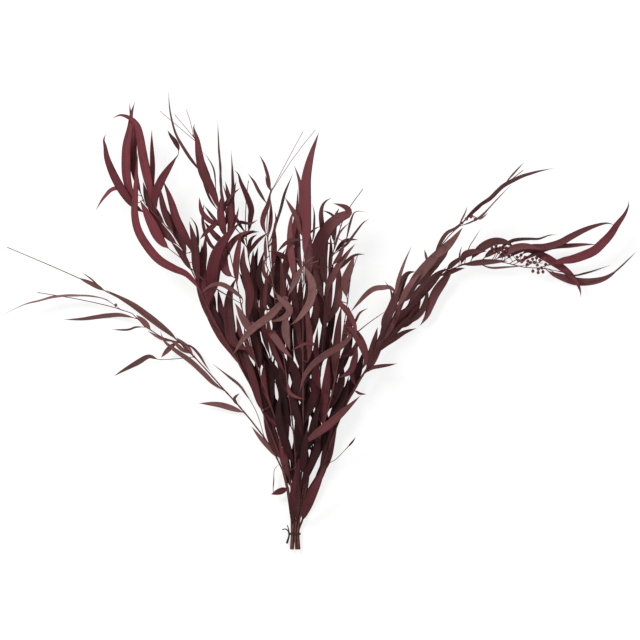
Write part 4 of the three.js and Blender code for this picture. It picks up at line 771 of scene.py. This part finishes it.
def grow():
    """Every stem, twig, bud and leaf of the bunch in its place, stems first and filling leaves last."""
    placed = []
    grown = []
    for spray in SPRAYS:
        name = spray["name"]
        stem = stem_route(spray["seat"], rows(spray["stem"]))
        branches = [stem]
        tubes = [(stem, STEM_RADIUS, STEM_TIP_RADIUS)]
        for radius, rise, *plan in rows(spray["twigs"]):
            twig = route_from(branches, plan, rise).stretches(STEM_STEP)
            tubes.append((twig, radius * TWIG_ROOT, radius))
            branches.append(twig)
        stalks = [route_from(branches, [x, y], height).stretches(STEM_STEP)
                  for x, y, height in rows(spray["buds"])]
        placed.extend(Piece(name, stalk.points, True) for stalk in stalks)
        placed.extend(Piece(name, branch.stretches(SAMPLE_STEP).points, True) for branch in branches)
        grown.append((spray, branches, tubes, stalks, []))
    for spray, branches, _, _, leaves in grown:
        name = spray["name"]
        for i, row in enumerate(rows(spray["leaves"])):
            leaf = clear_leaf(name, branches, placed, row, 1 if i % 2 == 0 else -1, 1)
            middle = leaf["route"].at(leaf["route"].length / 2)[1]
            # Leaves by the tie get painted shade, which fades along the bunch
            shade = limit(PAINTED_SHADE_AT_TIE - middle / PAINTED_SHADE_REACH, 0, 1)
            dust = DUSTY.get(name, {}).get(i, stem_dust(name, middle))
            leaf["look"] = (shade, dust, REDDER.get(name, {}).get(i, 0.0))
            leaves.append(leaf)
            placed.append(Piece(name, leaf["samples"], False))
    for index, (spray, branches, _, _, leaves) in enumerate(grown):
        name = spray["name"]
        stem = branches[0]
        # Filling leaves get painted shade, darkest at the tie and lighter towards the far end of their stem
        dark, fade = FILLER_PAINTED_SHADES.get(name, FILLER_PAINTED_SHADE)
        draw = seeded_draw(FILLER_SEEDS[0] + index * FILLER_SEEDS[1])
        for start, end, count, shortest, longest, spread, only_side in rows(spray["fillers"]):
            for i in range(int(count)):
                s = stem.length * (start + ((end - start) * (i + draw(*FILLER_SHIFT))) / count)
                side = only_side or (1 if i % 2 == 0 else -1)
                length = draw(shortest, longest)
                width = draw(*FILLER_WIDTH)
                rise = draw(*FILLER_RISE)
                spreading = spread * draw(*FILLER_SPREAD)
                row = filler_row(stem, s, side, length, width, rise, spreading, draw(-1, 1))
                leaf = clear_leaf(name, branches, placed, row, side, -1)
                if leaf["count"] < OTHERS_WEIGHT:
                    # The first look value is the painted shade
                    leaf["look"] = (dark - fade * s / stem.length, stem_dust(name, stem.at(s)[1]), 0.0)
                    leaves.append(leaf)
                    placed.append(Piece(name, leaf["samples"], False))
    return grown


def scene_object(name, data):
    thing = bpy.data.objects.new(name, data)
    bpy.context.scene.collection.objects.link(thing)
    return thing


class Shape:
    """A mesh put together from lofted rings of points, in millimetres, with named values at each point."""

    def __init__(self):
        self.points = []
        self.faces = []
        self.values = {}
        self.count = 0

    def loft(self, rings, closed=False, **values):
        """rings is stations by sides by 3. A value has three parts, for all or for each station or side.

        Where it is closed, the last ring meets the first. Otherwise both ends are capped."""
        stations, sides, _ = rings.shape
        self.points.append(rings.reshape(-1, 3))
        for name, parts in values.items():
            parts = [np.broadcast_to(part, (stations, sides)).ravel() for part in parts]
            self.values.setdefault(name, []).append(np.stack(parts, axis=1))
        station = np.arange(stations if closed else stations - 1)[:, None]
        row = self.count + station * sides
        next_row = self.count + (station + 1) % stations * sides
        place = np.arange(sides)
        after = (place + 1) % sides
        quads = np.stack([row + place, row + after, next_row + after, next_row + place], axis=2)
        self.faces.extend(quads.reshape(-1, 4).tolist())
        if not closed:
            first = list(range(self.count, self.count + sides))
            self.faces.append(first[::-1])
            self.faces.append([k + (stations - 1) * sides for k in first])
        self.count += stations * sides

    def object(self, name, material, slot):
        mesh = bpy.data.meshes.new(name)
        mesh.from_pydata((np.concatenate(self.points) * MM).tolist(), [], self.faces)
        mesh.polygons.foreach_set("use_smooth", [True] * len(mesh.polygons))
        for value_name, value in self.values.items():
            attribute = mesh.attributes.new(value_name, "FLOAT_VECTOR", "POINT")
            attribute.data.foreach_set("vector", np.concatenate(value).astype(np.float32).ravel())
        mesh.materials.append(material)
        mesh.update()
        thing = scene_object(name, mesh)
        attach(thing, "root")
        return thing


def round_rings(centres, first, second, angle, radii):
    """Rings round centres, in the plane of two directions, with a radius for each place on each ring."""
    centres, first, second = (np.reshape(part, (-1, 1, 3)) for part in (centres, first, second))
    around = np.cos(angle)[:, None] * first + np.sin(angle)[:, None] * second
    return centres + around * radii[:, :, None]


# A fine blade: places across it, and whether each is on the upper face, an edge or the lower face
TOP_PLACES = [-0.72, -0.4, -0.12, 0, 0.12, 0.4, 0.72]
BLADE_PLACES = np.array([-1] + TOP_PLACES + [1] + TOP_PLACES[::-1])
BLADE_FACES = np.array([0] + [1] * len(TOP_PLACES) + [0] + [-1] * len(TOP_PLACES))
SHAPE_PLACES = np.linspace(0, 1, len(BLADE_SHAPE)).tolist()
FINE_SHAPE = np.array(smooth([(*point, 0) for point in zip(SHAPE_PLACES, BLADE_SHAPE)], FINE_STEPS))


def add_leaf(shape, leaf, draw):
    """A blade with its midrib, thin edges, a slight trough, a twist and waves, on its stalk."""
    route = leaf["route"]
    width, stalk, lying, standing = leaf["form"]
    stations = limit(round(route.length / FINE_STEP), FEWEST_STATIONS, MOST_STATIONS)
    lengths = route.length * np.linspace(0, 1, stations)[:, None]
    share = np.clip((lengths - stalk) / (route.length - stalk), 0, 1)
    blade = width * np.interp(share, FINE_SHAPE[:, 0], FINE_SHAPE[:, 1]) / 2
    stalk_half = min(FINE_STALK, width * STALK_TO_WIDTH)
    opening = smoothstep(share / OPEN_BY)
    half = np.maximum(between(stalk_half, blade, opening), THINNEST)
    thickness = between(HALF_THICKNESS, stalk_half * STALK_DEPTH, 1 - smoothstep(share / THIN_BY))
    narrow = min(1, width / FULL_WIDTH)
    trough = draw(*TROUGH) * opening * (1 - TROUGH_FADE * share)
    twist = draw(*TWIST) * share + SWAY * np.sin(share * SWAY_PACE + draw(*PHASE))
    wave = draw(*WAVE) * narrow * opening * (1 - share)
    pace = draw(*WAVE_LENGTH)
    left, right = draw(*PHASE), draw(*PHASE)
    u = BLADE_PLACES
    level = trough * half * (u * u - TROUGH_LEVEL)
    level += wave * u * u * np.sin(2 * math.pi * lengths / pace + np.where(u < 0, left, right))
    level += BLADE_FACES * thickness * (1 - EDGE_THINNING * u * u)
    rib = np.exp(-(u / RIB_WIDTH) ** 2) * opening * (1 - RIB_FADE * share) * narrow
    level -= rib * np.where(BLADE_FACES > 0, RIB_ABOVE, RIB_BELOW)
    centres, _, side, up = route.stations(lengths)
    flat = side * lying + up * standing
    raised = up * lying - side * standing
    across = flat * np.cos(twist) + raised * np.sin(twist)
    normal = raised * np.cos(twist) - flat * np.sin(twist)
    rings = centres[:, None] + (u * half)[:, :, None] * across[:, None] + level[:, :, None] * normal[:, None]
    rings[:, :, 2] = np.maximum(rings[:, :, 2], NEAR_FLOOR)
    # The first look value is painted shade; it goes to the material in the light attribute
    painted_shade, dusty, redder = leaf["look"]
    shape.loft(rings, blade=(lengths, u, half), look=(draw(), dusty, redder),
               light=(painted_shade, share, np.maximum(-BLADE_FACES, 0)))


def add_branch(shape, route, first_radius, last_radius, roots, sides, draw):
    """A stem or twig, rounded at its bends, with a swelling where each leaf grows from it."""
    step = THICK_STEP if first_radius > THICK_FROM else THIN_STEP
    lengths = np.linspace(0, route.length, max(FEWEST_RINGS, round(route.length / step)))[:, None]
    radii = between(first_radius, last_radius, lengths / route.length)
    for root in roots:
        radii = radii + SWELLING * first_radius ** 0.5 * np.exp(-((lengths - root) / SWELLING_REACH) ** 2)
    angle = circle(sides, 0.5)
    ridge = 1 + RIDGE_HEIGHT * np.sin(angle * RIDGES + draw(*PHASE))
    centres, _, side, up = route.stations(lengths)
    rings = round_rings(centres, side, up, angle, radii * ridge)
    middle = rings.mean(axis=1, keepdims=True)
    eased = middle.copy()
    eased[1:-1] = (middle[:-2] + middle[1:-1] * 2 + middle[2:]) / 4
    rings += eased - middle
    shape.loft(rings, bark=(lengths, angle, radii), look=(draw(), lengths / route.length, 0))


def root_lengths(branch, leaves):
    """Where along a branch its leaves grow."""
    lengths = np.linspace(0, branch.length, ROOT_SAMPLES)
    places = np.array([branch.at(s) for s in lengths])
    found = []
    for leaf in leaves:
        distances = np.linalg.norm(places - leaf["route"].points[0], axis=1)
        if distances.min() < ROOT_NEAR:
            found.append(lengths[distances.argmin()])
    return found


def add_bud(shape, stalk, draw):
    end, tangent, side, up = stalk.stations(stalk.length)
    forward, radius = np.array(BUD_PROFILE).T[:, :, None]
    angle = circle(BUD_SIDES)
    rib = 1 + BUD_RIB_HEIGHT * np.cos(angle * BUD_RIBS + draw(*PHASE))
    rings = round_rings(end + tangent * forward, side, up, angle, radius * draw(*BUD_SIZE) * rib)
    shape.loft(rings, bud=(forward, angle, 0), look=(draw(), 0, 0))


def closed_points(corners):
    """Points close together on a closed line through the given corners."""
    route = Route(corners + corners[:1])
    count = round(route.length / TWINE_STEP)
    return np.array([route.at(route.length * i / count) for i in range(count)])


def turn_points():
    """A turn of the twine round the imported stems, in the plane across them."""
    middle = TWINE_RADIUS * 2 + CLEARANCE + STEM_RADIUS + ROW_HEIGHT
    reach = STEM_RADIUS + CLEARANCE + TWINE_RADIUS
    seats = [(spray["seat"][0] * STEM_PITCH, spray["seat"][1] * ROW_HEIGHT) for spray in SPRAYS]
    outline = []
    for angle in circle(TURN_CORNERS, 0.5):
        x, z = math.cos(angle), math.sin(angle)
        seat = max(seats, key=lambda place: place[0] * x + place[1] * z)
        outline.append((seat[0] + x * reach, 0.0, middle + seat[1] + z * reach))
    return closed_points(outline)


def directions(points, reach):
    """The direction along a closed line at each of its points, from those that lie reach places away."""
    return unit(np.roll(points, -reach, axis=0) - np.roll(points, reach, axis=0))


def add_twine(shape, points, out, across, radii, draw, closed):
    """Three twisted strands through points, with the outward direction and the one across it at each."""
    angle = circle(TWINE_SIDES)
    along = TWINE_STEP * np.arange(len(points))[:, None]
    twisted = angle - 2 * np.pi * along / STRAND_TURN
    lobes = 1 - STRAND_DEPTH + STRAND_DEPTH * np.abs(np.cos(twisted * STRANDS / 2))
    rings = round_rings(points, across, out, angle, radii * lobes)
    shape.loft(rings, closed, bark=(along, twisted, 0), look=(draw(), 0, 0))


def tie_shape():
    """Three turns of twisted twine round the stems, the knot at the left and the loose ends."""
    shape = Shape()
    draw = seeded_draw(TIE_SEED)
    points = turn_points()
    across = (0, 1, 0)
    out = np.cross(across, directions(points, 3))
    for offset in TWINE_TURNS:
        add_twine(shape, points + (0, offset, 0), out, across, TWINE_RADIUS, draw, True)
    for root_radius, tip_radius, *ends in TWINE_ENDS:
        route = Route(smooth(ends, FINE_STEPS))
        lengths = np.linspace(0, route.length, round(route.length / TWINE_STEP))[:, None]
        points, _, side, up = route.stations(lengths)
        radii = between(root_radius, tip_radius, lengths / route.length)
        add_twine(shape, points, up, side, radii, draw, False)
    angle = circle(COIL_CORNERS)
    wide, high = COIL_WIDTH * np.cos(angle), np.sin(angle)
    for turned, lean in KNOT_COILS:
        coil = [wide * math.cos(turned), COIL_HEIGHT * high, wide * math.sin(turned) + lean * high]
        points = closed_points((np.stack(coil, axis=1) + KNOT).tolist())
        along = directions(points, 1)
        out = points - KNOT
        out = unit(out - along * (along * out).sum(axis=1, keepdims=True))
        add_twine(shape, points, out, np.cross(along, out), TWINE_RADIUS, draw, True)
    return shape


def srgb(shade):
    """A colour given as it looks on screen, from 0 to 255, as the linear one that shaders take."""
    shares = [value / 255 for value in shade]
    return (*(s / 12.92 if s <= 0.04045 else ((s + 0.055) / 1.055) ** 2.4 for s in shares), 1.0)


class Finish:
    """A node material that builds up its colour, with short calls for the nodes that it uses."""

    def __init__(self, name):
        self.material = bpy.data.materials.new(name)
        self.material.use_nodes = True
        self.tree = self.material.node_tree
        self.shader = self.tree.nodes["Principled BSDF"]
        self.colour = None

    def put(self, node, inputs):
        for name, value in inputs.items():
            if isinstance(value, bpy.types.NodeSocket):
                self.tree.links.new(value, node.inputs[name])
            else:
                node.inputs[name].default_value = value

    def node(self, kind, inputs, output=0, **settings):
        node = self.tree.nodes.new(kind)
        for name, value in settings.items():
            setattr(node, name, value)
        self.put(node, inputs)
        return node.outputs[output]

    def calc(self, operation, *values):
        return self.node("ShaderNodeMath", dict(enumerate(values)), operation=operation)

    def times(self, *values):
        return reduce(lambda first, second: self.calc("MULTIPLY", first, second), values)

    def plus(self, *values):
        return reduce(lambda first, second: self.calc("ADD", first, second), values)

    def values(self, name):
        """The three values of a named attribute."""
        vector = self.node("ShaderNodeAttribute", {}, "Vector", attribute_name=name)
        parts = self.tree.nodes.new("ShaderNodeSeparateXYZ")
        self.put(parts, {0: vector})
        return parts.outputs

    def vector(self, x, y, z):
        return self.node("ShaderNodeCombineXYZ", {0: x, 1: y, 2: z})

    def place(self):
        return self.node("ShaderNodeTexCoord", {}, "Object")

    def noise(self, vector, scale, detail=3.0, roughness=0.5):
        inputs = {"Vector": vector, "Scale": scale, "Detail": detail, "Roughness": roughness}
        return self.node("ShaderNodeTexNoise", inputs)

    def span(self, value, low, high, first=0.0, last=1.0):
        """value from low to high, turned smoothly into first to last."""
        inputs = {"Value": value, "From Min": low, "From Max": high, "To Min": first, "To Max": last}
        return self.node("ShaderNodeMapRange", inputs, interpolation_type="SMOOTHSTEP")

    def blend(self, amount, first, second, **settings):
        return self.node("ShaderNodeMix", {0: amount, 6: first, 7: second}, 2, data_type="RGBA", **settings)

    def start(self, amount, first, second):
        """The colour to begin with, between two shades."""
        self.colour = self.blend(amount, srgb(first), srgb(second))

    def tint(self, shade, *amounts):
        """Mixes in a shade, by the product of the amounts."""
        self.colour = self.blend(self.times(*amounts), self.colour, srgb(shade))

    def scale(self, amount):
        self.colour = self.blend(1.0, self.colour, self.vector(amount, amount, amount), blend_type="MULTIPLY")

    def finish(self, roughness, height, distance, strength, specular):
        bump = self.node("ShaderNodeBump", {"Height": height, "Distance": distance, "Strength": strength})
        self.put(self.shader, {"Base Color": self.colour, "Roughness": roughness,
                               "Specular IOR Level": specular, "Normal": bump})
        return self.material


# Shades as they look on screen
LEAF_DARK, LEAF_BRIGHT = (78, 36, 38), (94, 41, 48)
RED, DUST_PINK, UNDERSIDE, BLOTCH = (120, 48, 60), (120, 83, 81), (100, 60, 60), (60, 32, 32)
MIDRIB, VEIN, LEAF_EDGE, DRY_TIP = (122, 80, 76), (150, 100, 96), (108, 68, 62), (88, 54, 46)
BARK_DARK, BARK_PALE = (74, 42, 36), (120, 80, 66)
BARK_PATCH, BARK_YOUNG, CUT_WOOD = (92, 50, 48), (98, 50, 52), (150, 112, 88)
BUD_DARK, BUD_BRIGHT, BUD_POINT, BUD_SPECK = (76, 40, 40), (100, 42, 50), (146, 100, 88), (78, 34, 42)
TWINE_DARK, TWINE_PALE, PAINTED_GROOVE_SHADE = (40, 32, 33), (84, 72, 72), (20, 18, 20)


def leaf_finish():
    """Dyed, dried leaf: mottled, with a paler midrib, faint side veins, dry tips and a faint sheen; leaves by
    the tie and deep in the bunch get painted shade.
    """
    look = Finish("dried_leaf")
    along, across, half = look.values("blade")
    tone, dusty, redder = look.values("look")
    painted_shade, share, under = look.values("light")
    place = look.place()
    mottle = look.noise(place, 70.0, 4.0, 0.6)
    cloud = look.noise(place, 14.0, 2.0)
    fine = look.noise(place, 900.0, 2.0)
    offset = look.calc("ABSOLUTE", look.times(across, half))
    look.start(look.span(cloud, 0.35, 0.65), LEAF_DARK, LEAF_BRIGHT)
    look.tint(RED, redder, 0.85)
    look.tint(DUST_PINK, dusty, look.span(mottle, 0.3, 0.6, 0.65, 1.0))
    look.tint(UNDERSIDE, under, 0.25)
    look.tint(BLOTCH, look.span(mottle, 0.5, 0.75, 0.0, 0.45))
    look.tint(MIDRIB, look.span(offset, 0.12, 0.42, 1.0, 0.0), look.span(share, 0.75, 1.0, 0.5, 0.1), 0.7)
    cycle = look.calc("SUBTRACT", along, look.times(offset, 1.7))
    cycle = look.calc("FRACT", look.calc("DIVIDE", cycle, 2.3))
    vein = look.span(look.calc("ABSOLUTE", look.calc("SUBTRACT", cycle, 0.5)), 0.02, 0.16, 1.0, 0.0)
    look.tint(VEIN, vein, 0.12)
    look.tint(LEAF_EDGE, look.span(look.calc("ABSOLUTE", across), 0.86, 1.0, 0.0, 0.3))
    look.tint(DRY_TIP, look.span(share, 0.8, 1.0), look.span(mottle, 0.3, 0.6, 0.15, 0.6))
    # Each leaf's random tone, times the painted shade that darkens leaves by the tie and deep in the bunch
    look.scale(look.times(look.span(tone, 0.0, 1.0, 0.74, 1.24), look.span(painted_shade, 0.0, 1.0, 1.02, 0.25)))
    grain = look.vector(look.times(along, 0.09), look.times(offset, 0.8), look.times(tone, 60.0))
    wrinkle = look.noise(grain, 1.6, 4.0, 0.6)
    height = look.plus(look.times(wrinkle, 1.1), look.times(vein, 0.16), look.times(fine, 0.14))
    roughness = look.plus(look.span(mottle, 0.3, 0.7, 0.46, 0.64), look.span(painted_shade, 0.0, 0.8, 0.0, 0.25))
    return look.finish(roughness, height, 0.0006, 0.55, 0.2)


def bark_finish():
    """Dry stem: red-brown and fibrous, paler in streaks, with a pale cut end."""
    look = Finish("dry_stem")
    along, angle, radius = look.values("bark")
    tone, share, _ = look.values("look")
    place = look.place()
    fibre = look.noise(look.vector(look.times(along, 0.08), angle, look.times(tone, 40.0)), 3.0, 4.0, 0.65)
    patch = look.noise(place, 55.0, 3.0)
    look.start(look.span(fibre, 0.35, 0.65), BARK_DARK, BARK_PALE)
    look.tint(BARK_PATCH, look.span(patch, 0.45, 0.7, 0.0, 0.6))
    look.tint(BARK_YOUNG, look.span(share, 0.1, 0.6, 0.1, 0.75))
    look.tint(CUT_WOOD, look.span(along, 0.02, 0.3, 1.0, 0.0), look.span(radius, 1.2, 1.4))
    height = look.plus(fibre, look.times(look.noise(place, 800.0, 2.0), 0.3))
    return look.finish(look.span(patch, 0.3, 0.7, 0.55, 0.75), height, 0.0005, 0.6, 0.3)


def bud_finish():
    """Bud: wine red, darker below, with a ridge where the cap sits and a pale point."""
    look = Finish("bud_skin")
    forward, angle, _ = look.values("bud")
    tone, _, _ = look.values("look")
    speck = look.noise(look.place(), 420.0, 3.0)
    look.start(look.span(forward, -2.6, 0.4), BUD_DARK, BUD_BRIGHT)
    look.tint(BUD_POINT, look.span(forward, 2.0, 3.2, 0.0, 0.8))
    look.tint(BUD_SPECK, look.span(speck, 0.5, 0.7, 0.0, 0.5))
    look.scale(look.span(tone, 0.0, 1.0, 0.8, 1.2))
    height = look.plus(speck, look.times(look.calc("SINE", look.times(angle, 12.0)), 0.12))
    return look.finish(look.span(speck, 0.3, 0.7, 0.4, 0.6), height, 0.0003, 0.5, 0.4)


def twine_finish():
    """Dark twine: matt twisted fibres, with painted shade in the grooves between the strands."""
    look = Finish("dark_twine")
    along, twisted, _ = look.values("bark")
    tone, _, _ = look.values("look")
    grain = look.vector(look.times(along, 0.5), look.times(twisted, 2.2), look.times(tone, 20.0))
    fibre = look.noise(grain, 2.4, 4.0, 0.7)
    groove = look.calc("ABSOLUTE", look.calc("COSINE", look.times(twisted, STRANDS / 2)))
    look.start(look.span(fibre, 0.35, 0.7), TWINE_DARK, TWINE_PALE)
    # Painted shade darkens the grooves between the strands
    look.tint(PAINTED_GROOVE_SHADE, look.span(groove, 0.0, 0.35, 0.7, 0.0))
    return look.finish(look.span(fibre, 0.3, 0.7, 0.8, 0.95), fibre, 0.0002, 0.8, 0.2)


def floor_finish():
    """Pale floor that gives off most of its light, so that shadows on it stay faint."""
    look = Finish("pale_floor")
    look.put(look.shader, {"Base Color": (0.3, 0.3, 0.3, 1), "Roughness": 0.9, "Specular IOR Level": 0.2,
                           "Emission Color": (1, 1, 1, 1), "Emission Strength": 0.76})
    return look.material


# The studio, in metres
FLOOR_REACH = 15
MIDDLE = (0.0, 0.33, 0.05)
CAMERA = (0.0375, 0.3225, 8.05)
CAMERA_LENS = 300
WORLD_LIGHT = 0.45


def light(name, place, size, power, colour):
    data = bpy.data.lights.new(name, "AREA")
    data.shape = "DISK"
    data.size = size
    data.energy = power
    data.color = colour
    lamp = scene_object(name, data)
    lamp.location = place
    x, y, z = np.array(MIDDLE) - place
    lamp.rotation_euler = (math.atan2(math.hypot(x, y), -z), 0, math.atan2(y, x) - math.pi / 2)


def studio():
    """Pale floor, soft light from the upper left and a camera that looks straight down."""
    scene = bpy.context.scene
    mesh = bpy.data.meshes.new("floor")
    corners = [(x * FLOOR_REACH, y * FLOOR_REACH, 0) for x, y in ((-1, -1), (1, -1), (1, 1), (-1, 1))]
    mesh.from_pydata(corners, [], [(0, 1, 2, 3)])
    mesh.materials.append(floor_finish())
    floor = scene_object("floor", mesh)

    world = bpy.data.worlds.new("soft_white")
    world.use_nodes = True
    world.node_tree.nodes["Background"].inputs[0].default_value = (1, 1, 1, 1)
    world.node_tree.nodes["Background"].inputs[1].default_value = WORLD_LIGHT
    scene.world = world
    light("key", place=(-1.7, 1.9, 2.6), size=1.3, power=80, colour=(1.0, 0.98, 0.96))
    light("fill", place=(2.2, -0.6, 2.4), size=2.0, power=16, colour=(0.97, 0.98, 1.0))

    data = bpy.data.cameras.new("camera")
    data.sensor_width = 36
    data.lens = CAMERA_LENS
    data.clip_start = 0.5
    data.clip_end = 60
    scene.camera = scene_object("camera", data)
    scene.camera.location = CAMERA
    scene.view_settings.view_transform = "Standard"
    scene.view_settings.look = "None"


studio()
leaf_look, bark_look, bud_look, twine_look = leaf_finish(), bark_finish(), bud_finish(), twine_finish()
for index, (spray, _, tubes, stalks, leaves) in enumerate(grow()):
    name = spray["name"]
    short = name.replace("spray_", "")
    draw = seeded_draw(LOOK_SEEDS[0] + index * LOOK_SEEDS[1])
    foliage = Shape()
    for leaf in leaves:
        add_leaf(foliage, leaf, draw)
    blades = foliage.object("leaves_" + short, leaf_look, "leaf")
    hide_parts(name)
    wood = Shape()
    for k, (route, first_radius, last_radius) in enumerate(tubes):
        roots = root_lengths(route, leaves)
        sides = STEM_SIDES if k == 0 else TWIG_SIDES
        add_branch(wood, route, first_radius * FINE_STEM, last_radius, roots, sides, draw)
    for stalk in stalks:
        add_branch(wood, stalk, BUD_STALK_RADIUS, BUD_STALK_RADIUS, [], STALK_SIDES, draw)
    wood.object("stem_" + short, bark_look, "leaf")
    if stalks:
        buds = Shape()
        for stalk in stalks:
            add_bud(buds, stalk, draw)
        buds.object("buds_" + short, bud_look, "leaf")
tie = tie_shape().object("twine_tie", twine_look, "twine")
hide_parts("tie")
